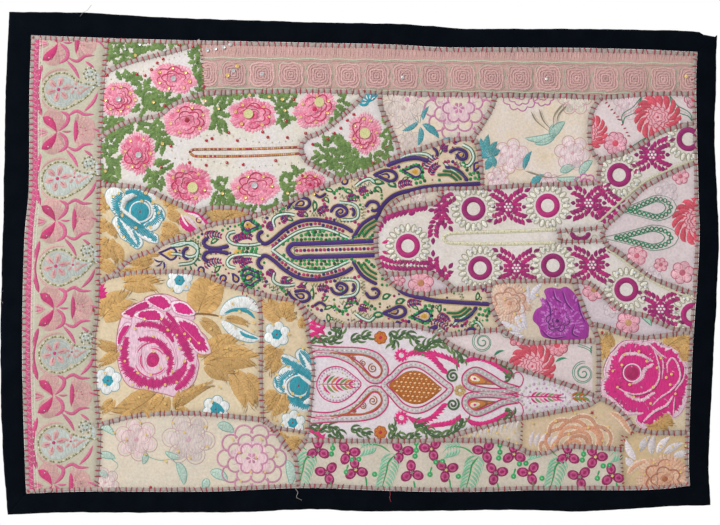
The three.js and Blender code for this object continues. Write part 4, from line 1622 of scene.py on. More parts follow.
YOKE_ZIGZAGS = [
    ((-150, -306), (-122, -284), FOREST), ((-134, -296), (-106, -288), PURPLE),
    ((-32, -270), (0, -276), FOREST), ((3, -278), (0, -302), FOREST), ((-40, -306), (-14, -308), FOREST),
    ((-14, -246), (14, -232), PURPLE), ((172, -188), (182, -212), CREAM),
    ((144, -218), (170, -226), FOREST), ((-262, -334), (-242, -346), FOREST),
    ((-76, -298), (-52, -298), FOREST), ((-14, -258), (18, -250), FOREST), ((2, -266), (18, -262), PURPLE),
]
YOKE_LEAVES = [
    ((-72, -272), (-72, -292), 7), ((-90, -292), (-80, -300), 6), ((18, -246), (38, -248), 9),
    ((40, -246), (56, -254), 9), ((20, -254), (34, -262), 8), ((-116, -300), (-102, -306), 6),
    ((-58, -268), (-48, -278), 6), ((122, -204), (128, -192), 5), ((-26, -258), (-10, -264), 7),
    ((64, -244), (76, -238), 5), ((-56, -256), (-40, -262), 6),
]
YOKE_MAGENTA_BEADS = [
    [(-26, -319), (-49, -312), (-71, -309), (-94, -313), (-114, -325), (-134, -342)],
    [(130, -214), (142, -214), (150, -222)], [(-52, -300), (-40, -302)], [(-74, -262), (-60, -256)],
    [(50, -222), (60, -220)], [(0, -240), (8, -236)], [(-150, -312), (-144, -300), (-146, -294)],
    [(-8, -306), (2, -312)], [(-58, -274), (-52, -290)],
]
YOKE_GREEN_BEADS = [
    [(-104, -334), (-22, -333)], [(-92, -327.5), (-34, -327)], [(-80, -322), (-56, -321)],
    [(-118, -340), (-112, -334)], [(-14, -334), (8, -322)], [(10, -334), (22, -324)],
    [(168, -232), (182, -230), (182, -240)], [(170, -240), (184, -236)],
    [(-40, -262), (-32, -254), (-22, -256)], [(86, -246), (98, -244), (96, -238)],
    [(-186, -346), (-160, -347)], [(-122, -290), (-114, -280)], [(158, -214), (164, -226)],
    [(6, -268), (22, -258)], [(-14, -270), (-4, -268)],
]


def mirrored(places, shift, axis):
    """Places mirrored to the other side of an axis and moved along it."""
    return [(x + shift, 2 * axis - z) for x, z in places]


def below_axis(places):
    """A line of the pattern in its lower half, whose right part lies higher and further right."""
    if places[0][0] < 20:
        return mirrored(places, 0, YOKE_AXIS)
    return mirrored(places, 14, YOKE_AXIS + 9)


def sew_yoke_half(work, side, way):
    """One half of the pattern. side places it, way is 1 above the axis and -1 below."""
    for line in YOKE_STRIPES:
        corded(work, side(line), 2.8, FOREST)
    for width, line in YOKE_PURPLE:
        corded(work, side(line), 1.22 * width)
    for line in YOKE_MINT:
        mint_cord(work, side(line), way)
    for centre, angle, length, width, curl, ringed in YOKE_DROPS:
        gold_drop(work, side([centre])[0], way * angle, length, width, way * curl,
                  BEAD_GREEN if ringed else None)
    for ends in YOKE_FEATHERS:
        feathers(work, *side(ends), PURPLE, 6, 9.5, BEAD_MAGENTA)
    for start, end, colour in YOKE_ZIGZAGS:
        ends = side([start, end])
        zigzag(work, *(ends if way > 0 else ends[::-1]), 5, 6.4, colour)
    for base, tip, width in YOKE_LEAVES:
        green_leaf(work, *side([base, tip]), 1.3 * width)
    for lines, colours in ((YOKE_MAGENTA_BEADS, [BEAD_MAGENTA, tint(186, 50, 116), PURPLE]),
                           (YOKE_GREEN_BEADS, [BEAD_GREEN, tint(40, 160, 84), tint(14, 84, 44)])):
        for line in lines:
            places = resampled(curve(side(line)), 6.2) + RNG.normal(0, 0.5)
            for k, place in enumerate(places + RNG.normal(0, 0.45, places.shape)):
                work.dome(place, 3.1, colours[k % 3], rise=1.5, rings=(0.7, 1.0), points=7)


def sew_paisley_yoke(work):
    """A dense beaded yoke: a corded slit in a pointed arch, with paisleys round it."""
    scatter_beads(work)
    corded(work, [(26, -335), (-40, -338), (-93, -340), (-105, -341), (-111, -350), (-101, -361),
                  (-82, -360), (-30, -359), (26, -357)], 6.0)
    work.stroke(curve([(26, -341), (-60, -344), (-98, -345), (-101, -351), (-98, -356), (-60, -355),
                       (26, -352)]), 1.2, FOREST, rise=0.7)
    ring_of_dots(work, [(-98, -350), (24, -347)], 6.0, 3.1, [BEAD_MAGENTA, tint(186, 50, 116), PURPLE],
                 rise=1.5)
    sew_yoke_half(work, lambda places: places, 1)
    sew_yoke_half(work, below_axis, -1)
    sew_yoke_tip(work)
    sew_yoke_gaps(work)


def sew_yoke_tip(work):
    """The yoke's left point: single drops on its axis, then golden leaves."""
    gold_drop(work, (-292, -355), 176, 28, 19, 0.0)
    corded(work, [(-264, -345), (-271, -350), (-272, -358), (-264, -364)], 4.4)
    mint_cord(work, [(-292, -343), (-270, -338), (-254, -344), (-250, -354), (-258, -368), (-280, -372)])
    gold_drop(work, (-172, -312), -8, 26, 18, 0.1, BEAD_GREEN)
    gold_drop(work, (-169, -395), 8, 26, 18, -0.1, BEAD_GREEN)
    work.dome((-188, -353), 7, tint(222, 176, 90), rise=1.2, points=14, squash=0.8)
    ring_of_dots(work, [(-278, -350), (-278, -362)], 6, 2.0, [BEAD_MAGENTA])
    ring_of_dots(work, [(-237, -355), (-200, -354)], 7, 2.3, [BEAD_MAGENTA, PURPLE])
    for k in range(9):
        bearing = -88 + 22 * k
        petal(work, polar((-270, -356), 19, bearing), polar((-270, -356), 27, bearing), 3.2, FOREST, 0.0)
    golden_leaves(work, [((-318, -362), (-356, -366), 14), ((-322, -374), (-370, -384), 14),
                         ((-348, -378), (-394, -390), 12), ((-308, -356), (-334, -352), 6)])
    for tip in ((-318, -362), (-316, -374), (-304, -380)):
        petal(work, (-304, -366), tip, 3.0, PURPLE, 0.2)
        petal(work, (-302, -364), polar(tip, 3, 0), 1.6, CREAM, 0.2, rise=1.1)


def sew_yoke_gaps(work):
    """Small leaves, spines, teeth and drops wherever the yoke's pattern leaves room."""
    def anywhere(count):
        return np.stack([RNG.uniform(-250, 196, count), RNG.uniform(-470, -180, count)], axis=1)

    for number, place in enumerate(gaps(np.concatenate(work.places), anywhere(1600), 5.2, 11.5)):
        heading = RNG.uniform(0, 360)
        if number % 4 == 0:
            gold_drop(work, place, heading, 15, 9, 0.2)
        elif number % 4 == 1:
            feathers(work, polar(place, 7, heading + 180), polar(place, 7, heading), PURPLE, 4, 8,
                     BEAD_MAGENTA)
        elif number % 4 == 2:
            zigzag(work, polar(place, 9, heading + 180), polar(place, 9, heading), 4, 6, FOREST)
        else:
            green_leaf(work, polar(place, 8, heading + 180), polar(place, 8, heading), 8)
            green_leaf(work, polar(place, 4, heading + 100), polar(place, 9, heading + 60), 6)
    for number, place in enumerate(gaps(np.concatenate(work.places), anywhere(3200), 3.2, 5.0)):
        colour = (BEAD_GREEN, BEAD_MAGENTA, PURPLE, BEAD_GREEN, tint(40, 150, 84))[number % 5]
        work.dome(place, RNG.uniform(2.2, 2.9), colour, rise=1.4, rings=(0.7, 1.0), points=6)


def scatter_beads(work):
    """Loose beads in the gaps of the yoke's pattern."""
    for x, share in zip(RNG.uniform(-245, 190, 520), RNG.uniform(-1, 1, 520)):
        colour = (BEAD_MAGENTA, BEAD_GREEN, PURPLE, tint(206, 190, 130))[int(RNG.integers(4))]
        if abs(share) > 0.34 or x < -165:
            work.dome((x, YOKE_AXIS + share * 160), RNG.uniform(1.4, 2.2), colour, rise=1.1, rings=(0.7, 1.0),
                      points=6)


# ---- Patches: roses with golden leaves ---------------------------------------

WHITE_PETAL = tint(234, 236, 234)
GREY_TEAL = tint(132, 168, 174)


def golden_leaf(work, base, tip, width):
    """A broad golden leaf with a cut edge and short dark stitches along its veins."""
    line, width = bowed(base, tip, 0.08, 19), 1.25 * width
    for share in (-0.2, 0.2):
        shifted = line + share * width * across(line)
        work.stroke(shifted, 0.75 * width, mixed(TAN, DARK_TAN, RNG.uniform(0, 0.15)), "leaf", 0.6,
                    ragged=0.1)
    work.stroke(line[:-2], 0.9, DARK_TAN, "taper", 1.1)
    side, ahead = across(line), np.gradient(line, axis=0)
    for k in range(2, 17, 2):
        for way in (-1, 1):
            for share, reach in ((0.02, 0.26), (0.2, 0.22)):
                root = line[k] + way * share * width * side[k] * RNG.uniform(0.8, 1.2)
                end = root + reach * width * way * side[k] + 3.0 * ahead[k] * min(1.4, width / 16)
                shade = (DARK_TAN, tint(236, 204, 146))[int(RNG.uniform() < 0.4)]
                work.stroke([root, (root + end) / 2 + 0.6 * ahead[k], end], 0.7, shade, "leaf", 1.25)


def golden_leaves(work, leaves):
    for base, tip, width in leaves:
        golden_leaf(work, base, tip, width)


def teal_flower(work, centre, size):
    """A round white flower with a teal heart and a grey edge."""
    for k in range(6):
        middle = polar(centre, 0.6 * size, 60 * k + 20)
        work.dome(middle, 0.46 * size, GREY_TEAL, rise=0.3, points=12)
        work.dome(middle, 0.4 * size, WHITE_PETAL, rise=0.7, points=12)
    work.dome(centre, 0.46 * size, TEAL, rise=1.0, points=14)
    for k in range(8):
        petal(work, polar(centre, 0.12 * size, 45 * k), polar(centre, 0.44 * size, 45 * k), 0.5, DEEP_TEAL,
              rise=1.3)
    work.dome(centre, 0.1 * size, DARK_RED, rise=1.5, points=7)


def ruffled(work, line, width, colour, pale):
    """A ragged band of stitches on a paler petal with a fine outline."""
    line = curve(line, 1.7)
    for extra, shade, height in ((7.0, mixed(colour, pale, 0.35), 0.3), (5.6, pale, 0.5)):
        work.stroke(line, width + extra, shade, "crescent", height)
    work.stroke(line, width, colour, "crescent", 0.9, ragged=0.45)


def flame_line(work, places, width, colour=MAGENTA, dark=DEEP_MAGENTA):
    """A band of long stitches laid across a line, ragged on both its edges."""
    line, width = resampled(curve(places), 2.3), 1.2 * width
    for k, (place, side) in enumerate(zip(line, across(line))):
        swell = 0.4 + 0.6 * abs(math.sin(math.pi * k / (len(line) - 1))) ** 0.5
        near, far = (width / 2 * swell * RNG.uniform(0.6, 1.2) for _ in range(2))
        stitch = [place + share * side for share in (-near, -0.6 * near, 0.6 * far, far)]
        work.stroke(stitch, 2.4, mixed(colour, dark, RNG.uniform(0, 0.3)), "line", 1.0)


def flame_petal(work, outline, share=0.92, depth=0.2, rise=1.1):
    """A petal with a pale rim, a fine outline and a ragged magenta filling."""
    outline = curve(outline, 2.2, True)
    middle = outline.mean(axis=0)
    work.field(outline, PALE_ROSE, 0.65 * rise)
    work.stroke(outline, 0.5, mixed(MAGENTA, BLUSH, 0.3), rise=0.9 * rise)
    teeth = RNG.uniform(share - depth, share, (len(outline), 1))
    work.field(middle + teeth * (outline - middle), mixed(MAGENTA, DEEP_MAGENTA, RNG.uniform(0, 0.2)), rise)


def pale_rims(work, rims):
    """Petal edges left pale between magenta stitches, each with a fine line along one side."""
    for width, places in rims:
        flame_line(work, places, 1.15 * width, PALE_ROSE, PINK)
        line = curve(places)
        work.stroke(line + 0.6 * width * across(line), 0.6, DEEP_MAGENTA, "crescent", 1.2)


def rose_body(work, outline, eye, size):
    """The pale ground of a large rose, its outline and its round eye."""
    outline = curve(outline, 2.5, True)
    work.field(outline, tint(240, 202, 218), 0.35)
    work.stroke(outline, 0.7, MAGENTA, rise=0.6)
    for k in range(60):
        tip = polar(eye, RNG.uniform(2.2, 3.6) * size, 6 * k)
        work.stroke(bowed(polar(eye, 1.3 * size, 6 * k), tip, 0.1, 5), 0.5,
                    mixed(WHITE, PINK, RNG.uniform(0, 0.9)), "taper", 0.6)
    work.dome(eye, lambda a: 0.92 * size * (1 + 0.04 * np.sin(2 * a)), mixed(MAGENTA, DARK_RED, 0.2),
              rise=1.2, points=28, squash=1.22)
    for reach, first in ((1.45, 20), (1.6, 150), (1.85, 250), (2.2, 75), (2.3, 190)):
        line = arc(eye, reach * size, first, first + 85)
        work.stroke(line, 2.6, mixed(MAGENTA, PINK, 0.35), "crescent", 0.95)
        work.stroke(arc(eye, (reach + 0.25) * size, first - 10, first + 95), 0.6, MAGENTA, "crescent", 0.8)
    for k in range(14):
        tip = polar(eye, size * RNG.uniform(0.8, 1.2), 26 * k + 14)
        petal(work, polar(eye, 0.3 * size, 26 * k), tip, 0.8, mixed(DARK_RED, PINK, RNG.uniform(0, 0.8)),
              rise=1.5)
    work.stroke(arc(eye, 0.5 * size, 0, 300), 0.8, DEEP_MAGENTA, rise=1.6)


PALE_ROSE = tint(246, 216, 228)
GREAT_ROSE_OUTLINE = [
    (-375, -495), (-372, -467), (-360, -438), (-335, -430), (-328, -421), (-300, -417), (-271, -431),
    (-254, -453), (-261, -460), (-236, -484), (-231, -506), (-250, -509), (-248, -527), (-257, -555),
    (-282, -574), (-300, -571), (-328, -565), (-356, -558), (-370, -534), (-374, -509)]
GREAT_ROSE_LEAVES = [
    ((-398, -456), (-352, -421), 31), ((-366, -400), (-310, -405), 25), ((-250, -449), (-215, -391), 38),
    ((-246, -456), (-215, -488), 14), ((-245, -520), (-180, -491), 30), ((-236, -521), (-157, -520), 28),
    ((-240, -524), (-197, -546), 26), ((-197, -537), (-171, -592), 24), ((-178, -541), (-155, -585), 19),
    ((-310, -565), (-381, -606), 33), ((-285, -594), (-227, -555), 12), ((-285, -594), (-254, -558), 10),
    ((-285, -594), (-271, -560), 9), ((-285, -594), (-262, -602), 10), ((-370, -500), (-404, -490), 13),
    ((-370, -500), (-402, -524), 13), ((-380, -578), (-398, -597), 13), ((-300, -572), (-330, -606), 26),
]
GREAT_ROSE_BANDS = [
    (16, [(-359, -484), (-364, -512), (-356, -537), (-334, -552), (-308, -554), (-287, -546),
          (-270, -528)]),
    (11, [(-341, -487), (-325, -486), (-307, -493), (-296, -506), (-291, -522), (-296, -540)]),
    (11, [(-345, -466), (-325, -463), (-300, -472), (-288, -490)]),
    (17, [(-306, -456), (-284, -472), (-268, -498), (-260, -520)]),
    (9, [(-298, -446), (-284, -462), (-264, -486)]), (12, [(-257, -526), (-264, -546), (-284, -563)]),
    (9, [(-268, -520), (-273, -538), (-286, -554)]),
]
GREAT_ROSE_LINES = [
    [(-347, -479), (-321, -473), (-302, -481), (-289, -500), (-284, -521), (-292, -546)],
    [(-336, -487), (-337, -504), (-335, -523), (-331, -540)],
    [(-294, -484), (-285, -500), (-281, -523), (-288, -547)],
    [(-334, -500), (-336, -520), (-329, -537), (-316, -540), (-305, -531)],
    [(-330, -503), (-331, -520), (-325, -533), (-315, -536)], [(-250, -512), (-256, -538), (-280, -562)],
]
GREAT_ROSE_PETALS = [
    [(-369, -448), (-357, -439), (-341, -430), (-328, -426), (-318, -434), (-330, -441), (-346, -446),
     (-352, -455), (-361, -454)],
    [(-349, -450), (-341, -443), (-328, -440), (-315, -440), (-302, -448), (-303, -458), (-315, -460),
     (-330, -458), (-340, -455)],
    [(-332, -426), (-325, -420), (-310, -417), (-299, -420), (-291, -428), (-287, -436), (-299, -444),
     (-314, -438)],
    [(-292, -430), (-279, -427), (-268, -430), (-259, -438), (-252, -448), (-264, -451), (-277, -449),
     (-287, -444)],
    [(-375, -496), (-374, -481), (-367, -468), (-359, -460), (-352, -463), (-358, -474), (-366, -487),
     (-371, -497)],
    [(-286, -452), (-268, -455), (-253, -463), (-243, -478), (-234, -491), (-229, -508), (-246, -510),
     (-259, -498), (-271, -482), (-281, -466)],
]
SECOND_ROSE_MIDDLE = (440, -548)
SECOND_ROSE_EYE = (418, -538)
SECOND_ROSE_OUTLINE = [
    (377, -546), (378, -528), (385, -510), (397, -494), (414, -488), (432, -490), (441, -489), (452, -488),
    (466, -495), (474, -499), (483, -496), (492, -508), (499, -521), (506, -537), (507, -556), (502, -579),
    (494, -598), (482, -607), (475, -602), (456, -617), (436, -623), (424, -612), (427, -603), (409, -600),
    (391, -584), (372, -572), (371, -552)]
SECOND_ROSE_RIMS = [
    (5, [(398, -521), (404, -511), (419, -508), (433, -511), (449, -520)]),
    (6, [(418, -555), (432, -546), (437, -533), (450, -525)]),
    (3, [(452, -504), (457, -518), (460, -537), (456, -554), (445, -565), (428, -571), (411, -569),
         (397, -562)]),
    (2, [(452, -504), (465, -520), (464, -546)]),
    (6, [(407, -570), (420, -577), (434, -580), (443, -574), (452, -569)]),
    (3, [(472, -537), (472, -524), (479, -515), (486, -521), (491, -535), (491, -548), (484, -558),
         (475, -567), (461, -576), (449, -588)]),
    (2.5, [(484, -565), (496, -548), (499, -533), (497, -522)]),
    (4, [(480, -574), (470, -588), (451, -598), (436, -612)]), (2, [(483, -577), (481, -602)]),
    (5, [(374, -570), (390, -582), (402, -595), (415, -601), (434, -600)]),
    (4, [(378, -548), (376, -533), (384, -513), (393, -503), (404, -492), (419, -490), (437, -492)]),
    (3, [(440, -490), (452, -501), (462, -510), (470, -515)]),
]


def sew_great_rose(work):
    golden_leaves(work, GREAT_ROSE_LEAVES)
    rose_body(work, GREAT_ROSE_OUTLINE, (-319, -518), 12)
    for width, places in GREAT_ROSE_BANDS:
        flame_line(work, places, width)
    for outline in GREAT_ROSE_PETALS:
        flame_petal(work, outline)
    work.stroke(curve([(-284, -457), (-259, -482), (-238, -504)]), 1.6, PALE_ROSE, "crescent", 1.5)
    for line in GREAT_ROSE_LINES:
        work.stroke(curve(line), 0.6, mixed(MAGENTA, BLUSH, 0.2), "crescent", 1.0)
    for centre, size in (((-388, -550), 22), ((-278, -396), 21), ((-222, -594), 22)):
        teal_flower(work, centre, size)
    work.stroke(bowed((-232, -582), (-208, -602), 0.1), 9, TEAL, "crescent", 1.1, ragged=0.2)
    sew_bud(work)
    for k in range(4):
        petal(work, (-404, -424), (-392 + 2 * k, -400 - 7 * k), 8, MAGENTA, 0.1)
    sequins("gold", [
        (-306, -455), (-318, -482), (-296, -472), (-282, -480), (-270, -478), (-262, -486), (-248, -492),
        (-318, -505), (-308, -530), (-322, -540), (-342, -538), (-362, -520), (-368, -500), (-296, -515),
        (-288, -536), (-300, -556), (-328, -560), (-350, -556), (-282, -552), (-270, -520), (-278, -500),
        (-332, -455), (-346, -470), (-392, -538), (-392, -556), (-268, -405), (-290, -410), (-196, -432),
        (-240, -556), (-228, -582), (-216, -560), (-205, -500), (-182, -492), (-190, -535), (-340, -575),
        (-300, -585), (-216, -451), (-186, -443), (-192, -468), (-164, -461), (-165, -473),
        (-230, -470)], 2.0)


def sew_bud(work):
    """A closed white bud edged with teal."""
    for width, line in ((19, [(-216, -450), (-198, -434), (-174, -430), (-156, -444)]),
                        (17, [(-214, -458), (-194, -474), (-172, -484), (-154, -486)])):
        for extra, shade, rise in ((3.4, GREY_TEAL, 0.3), (0, WHITE_PETAL, 0.7)):
            work.stroke(curve(line), width + extra, shade, "crescent", rise)
    for line in ([(-210, -447), (-194, -441), (-175, -443), (-161, -455)],
                 [(-188, -471), (-178, -480), (-157, -486)]):
        work.stroke(curve(line), 7, TEAL, "crescent", 1.1, ragged=0.2)
    golden_leaf(work, (-208, -455), (-171, -465), 9)
    work.stroke(bowed((-262, -448), (-214, -452), 0.05), 3, DARK_TAN, rise=0.8)


BLUE_HEART = (-338.8, -290.6)
BLUE_GROUNDS = [        # the white petals
    [(-393, -265), (-389, -256), (-381, -252), (-372, -253), (-366, -259), (-362, -265), (-369, -272),
     (-369, -281), (-366, -290), (-370, -295), (-376, -296), (-384, -286), (-390, -278), (-392, -272)],
    [(-321, -280), (-313, -279), (-306, -283), (-300, -292), (-301, -301), (-305, -305), (-309, -313),
     (-315, -319), (-327, -321), (-332, -315), (-334, -311), (-321, -301), (-318, -292)],
    [(-376, -297), (-382, -306), (-377, -316), (-372, -324), (-367, -332), (-356, -338), (-349, -345),
     (-342, -348), (-335, -343), (-334, -336), (-339, -327), (-345, -319), (-356, -310), (-368, -301)],
    [(-370, -292), (-356, -303), (-345, -311), (-332, -317), (-321, -322), (-311, -327), (-311, -339),
     (-321, -338), (-332, -331), (-339, -327), (-345, -319), (-353, -317), (-362, -305), (-368, -301)],
]
BLUE_BANDS = [          # the teal stitches on them
    (12, [(-367, -262), (-376, -275), (-375, -286), (-370, -294)]),
    (9, [(-360, -262), (-351, -258), (-341, -262), (-332, -265), (-326, -271), (-324, -278)]),
    (9, [(-316, -282), (-311, -290), (-311, -300), (-320, -308), (-332, -313)]),
    (4, [(-306, -288), (-303, -303)]),
    (12, [(-370, -296), (-358, -305), (-345, -315), (-333, -322), (-321, -328), (-314, -334)]),
    (9, [(-372, -301), (-369, -312), (-361, -325), (-349, -339), (-342, -344)]),
    (6, [(-349, -320), (-343, -331), (-340, -341)]),
]
BLUE_TONGUES = [        # the narrow white petals that lie over the teal ones
    (10, [(-365, -282), (-362, -272), (-354, -267), (-345, -262)]),
    (6, [(-368, -277), (-365, -287), (-356, -295), (-345, -303), (-337, -310)]),
    (5, [(-367, -303), (-358, -317), (-350, -330), (-345, -339)]),
    (3, [(-346, -319), (-341, -326), (-332, -332), (-322, -338)]),
    (4, [(-333, -272), (-325, -276), (-320, -285), (-321, -296), (-331, -306)]),
]


def teal_rose(work, heart, size=1.0, tilt=0.0):
    """A rose of white petals filled with ragged teal stitches, edged in grey."""
    def at(places):
        return turned(size * (np.array(places) - BLUE_HEART), tilt, heart)

    far_petal = [(-362, -257), (-351, -255), (-337, -259), (-324, -262), (-314, -273)]
    work.stroke(curve(at(far_petal)), 13, WHITE_PETAL, "crescent", 0.6)
    work.dome(heart, 27 * size, mixed(TEAL, DEEP_TEAL, 0.3), rise=0.4, points=30)
    for places in BLUE_GROUNDS:
        outline = curve(at(places), 2.2, True)
        work.stroke(outline, 1.6, GREY_TEAL, rise=0.5)
        work.field(outline, WHITE_PETAL, 0.6)
    for width, places in BLUE_BANDS:
        flame_line(work, at(places), 1.15 * size * width, TEAL, DEEP_TEAL)
    work.dome(heart, 19 * size, WHITE_PETAL, rise=1.1, rings=(0.5, 0.94, 1.0), points=30)
    work.dome(heart, lambda a: size * (17 + 0.9 * np.sin(17 * a)), TEAL, rise=1.4, points=34)
    for _ in range(44):
        root = polar(heart, size * RNG.uniform(2, 12), RNG.uniform(0, 360))
        tip = polar(root, 3.4, RNG.uniform(0, 360))
        petal(work, root, tip, 0.9, mixed(DEEP_TEAL, WHITE_PETAL, RNG.uniform(0, 0.5)), rise=1.7)
    for width, places in BLUE_TONGUES:
        line = curve(at(places))
        work.stroke(line, size * width, WHITE_PETAL, "crescent", 1.6)
        work.stroke(line - 0.6 * size * width * across(line), 0.4, GREY_TEAL, "crescent", 1.5)
    work.dome(heart, 2.6 * size, DARK_RED, rise=2.0, points=8)


def sew_blue_rose(work):
    golden_leaves(work, [
        ((-300, -285), (-262, -266), 17), ((-298, -292), (-276, -306), 13), ((-300, -278), (-284, -258), 13),
        ((-388, -290), (-406, -256), 16), ((-388, -304), (-408, -316), 16), ((-386, -330), (-404, -360), 24),
        ((-384, -340), (-370, -370), 17), ((-390, -312), (-372, -328), 13), ((-306, -312), (-280, -328), 16),
        ((-308, -324), (-288, -350), 15), ((-268, -280), (-246, -290), 12), ((-408, -366), (-373, -388), 14),
        ((-363, -371), (-324, -385), 12)])
    teal_rose(work, BLUE_HEART)
    sew_pink_bud(work)
    sequins("gold", [(-371, -262), (-380, -267), (-330, -262), (-336, -274), (-319, -277), (-366, -296),
                     (-323, -314), (-372, -313), (-364, -329), (-310, -292), (-345, -315), (-388, -282),
                     (-248, -304)], 2.2)
    TRIMS["stone"].dome((-339, -290), 2.4, WHITE, rise=2.3, rings=(0.6, 1.0), points=8)


def sew_pink_bud(work):
    """A half-open bud of magenta and white petals beside the blue rose."""
    for width, line in ((15, [(-272, -288), (-254, -288), (-238, -300), (-230, -314)]),
                        (13, [(-278, -296), (-268, -312), (-250, -322)])):
        work.stroke(curve(line), width, MAGENTA, "crescent", 0.7, ragged=0.15)
    for width, line in ((6, [(-272, -296), (-262, -302), (-250, -318)]),
                        (5, [(-266, -292), (-250, -298), (-238, -312)]),
                        (4, [(-276, -294), (-270, -306), (-262, -316)])):
        work.stroke(curve(line), width, tint(244, 222, 230), "crescent", 1.0)
    work.stroke(arc((-248, -303), 4.5, 0, 360), 1.2, DEEP_MAGENTA, rise=1.3)


def sew_wedge(work):
    golden_leaves(work, [((-232, -286), (-196, -292), 13), ((-208, -300), (-170, -290), 12),
                         ((-182, -286), (-158, -296), 8), ((-226, -296), (-210, -306), 8)])


def sew_flower_strip(work):
    golden_leaves(work, [
        ((-120, -456), (-146, -424), 22), ((-118, -452), (-104, -424), 18), ((-116, -456), (-98, -450), 12),
        ((-128, -498), (-150, -512), 18), ((-128, -500), (-142, -537), 20), ((-130, -502), (-122, -520), 10),
        ((-126, -569), (-150, -580), 18), ((-122, -569), (-140, -601), 22), ((-116, -570), (-120, -600), 14),
        ((-90, -470), (-82, -452), 12)])
    teal_flower(work, (-128.5, -479), 21)
    teal_flower(work, (-104, -615), 20)
    teal_rose(work, (-95, -558), 1.0, 180)
    sequins("gold", [(-134, -464), (-110, -478), (-120, -500), (-128, -540), (-118, -560), (-104, -570),
                     (-92, -575), (-116, -598), (-96, -602), (-120, -618), (-130, -610), (-88, -500),
                     (-112, -528), (-96, -520)], 2.1)


def sew_wedge_foot(work):
    golden_leaves(work, [((-92, -640), (-121, -650), 16), ((-90, -640), (-108, -668), 15),
                         ((-134, -632), (-112, -640), 8)])


def sew_second_rose(work):
    golden_leaves(work, [((378, -517), (372, -480), 16), ((388, -500), (382, -476), 12),
                         ((470, -500), (512, -478), 26), ((484, -510), (514, -508), 20),
                         ((452, -606), (476, -624), 22), ((436, -620), (470, -630), 12),
                         ((470, -486), (480, -474), 14), ((386, -596), (370, -606), 14)])
    outline = curve(SECOND_ROSE_OUTLINE, 2.5, True)
    work.stroke(outline, 3.6, PALE_ROSE, rise=0.4)
    work.stroke(outline, 0.5, MAGENTA, rise=0.9)
    flame_petal(work, SECOND_ROSE_OUTLINE, 0.98, 0.09, 0.55)
    pale_rims(work, SECOND_ROSE_RIMS)
    for _ in range(90):
        root = polar(SECOND_ROSE_MIDDLE, 60 * RNG.uniform(0.05, 1) ** 0.5, RNG.uniform(0, 360))
        heading = bearing_to(SECOND_ROSE_EYE, root) + RNG.uniform(-25, 25)
        petal(work, root, polar(root, RNG.uniform(4, 8), heading), RNG.uniform(0.9, 2.2),
              mixed(PALE_ROSE, DEEP_MAGENTA, RNG.uniform(0, 1)), rise=1.5)
    work.stroke(arc(SECOND_ROSE_EYE, 13.5, 0, 360), 2.2, PALE_ROSE, rise=1.5)
    work.stroke(arc(SECOND_ROSE_EYE, 15.5, 60, 330), 0.5, DEEP_MAGENTA, "crescent", 1.5)
    work.dome(SECOND_ROSE_EYE, 11.5, mixed(MAGENTA, DARK_RED, 0.35), rise=1.7, points=26)
    for k in range(16):
        root = polar(SECOND_ROSE_EYE, 2, 23 * k)
        tip = polar(SECOND_ROSE_EYE, RNG.uniform(8, 12), 23 * k + 12)
        petal(work, root, tip, 0.8, mixed(DARK_RED, MAGENTA, RNG.uniform(0, 0.8)), rise=1.9)
    sequins("gold", [(406, -510), (428, -505), (440, -520), (456, -530), (470, -545), (478, -540),
                     (450, -560), (420, -575), (395, -560), (388, -535), (402, -526), (446, -585),
                     (484, -570), (462, -515), (476, -556), (414, -556)], 2.1)


# ---- Patches: faded prints in the lower rows ---------------------------------

MINT_LINE = tint(128, 182, 168)
MINT_FILL = tint(192, 214, 200)


def sew_pale_peony(work):
    ghost_flower(work, (-264, -640), 40, tint(204, 168, 178), tint(220, 204, 198), 15)
    ghost_flower(work, (-344, -640), 33, tint(216, 164, 176), tint(230, 206, 204))
    ghost_flower(work, (-392, -706), 22, tint(214, 170, 180), tint(228, 208, 204))
    for base, tip, width in (((-282, -675), (-271, -710), 13), ((-276, -668), (-300, -658), 9),
                             ((-231, -690), (-204, -704), 15), ((-236, -700), (-242, -716), 12),
                             ((-113, -672), (-108, -712), 14), ((-402, -618), (-378, -634), 10),
                             ((-402, -664), (-376, -670), 11), ((-220, -618), (-194, -630), 14),
                             ((-330, -660), (-334, -678), 9), ((-402, -690), (-388, -700), 10),
                             ((-126, -640), (-108, -652), 12)):
        print_leaf(work, base, tip, width, MINT_LINE, MINT_FILL)
    for points in ([(-338, -660), (-310, -672), (-276, -668)], [(-385, -668), (-372, -680), (-384, -694)],
                   [(-290, -668), (-276, -688), (-280, -708)]):
        scroll(work, points, 1.6, MINT_LINE)
    peony(work, (-167, -669.5), 49, tint(206, 140, 168), PRINT_BLUSH, 2.8)
    sequins("gold", [(-338, -614), (-288, -614), (-378, -630), (-329, -633), (-359, -640), (-270, -629),
                     (-238, -620), (-235, -651), (-280, -658), (-262, -668), (-330, -663), (-299, -673),
                     (-130, -665), (-152, -640), (-186, -660), (-196, -640), (-168, -690), (-146, -690),
                     (-184, -704), (-160, -668)], 2.0)
    stones([(-322, -714)], 2.6)


def coil(work, centre, radius, turn, tail=None):
    """A printed spiral of two fine lines."""
    for shift in (0, 3.0):
        line = spiral(centre, radius - shift, 2.2, turn, 0.1, 2.2)
        work.stroke(line, 1.1, tint(84, 164, 132), rise=0.6)
    if tail is not None:
        for way in (-1, 1):
            work.stroke(curve(tail) + way * 1.5 * across(curve(tail)), 0.9, JADE, rise=0.6)


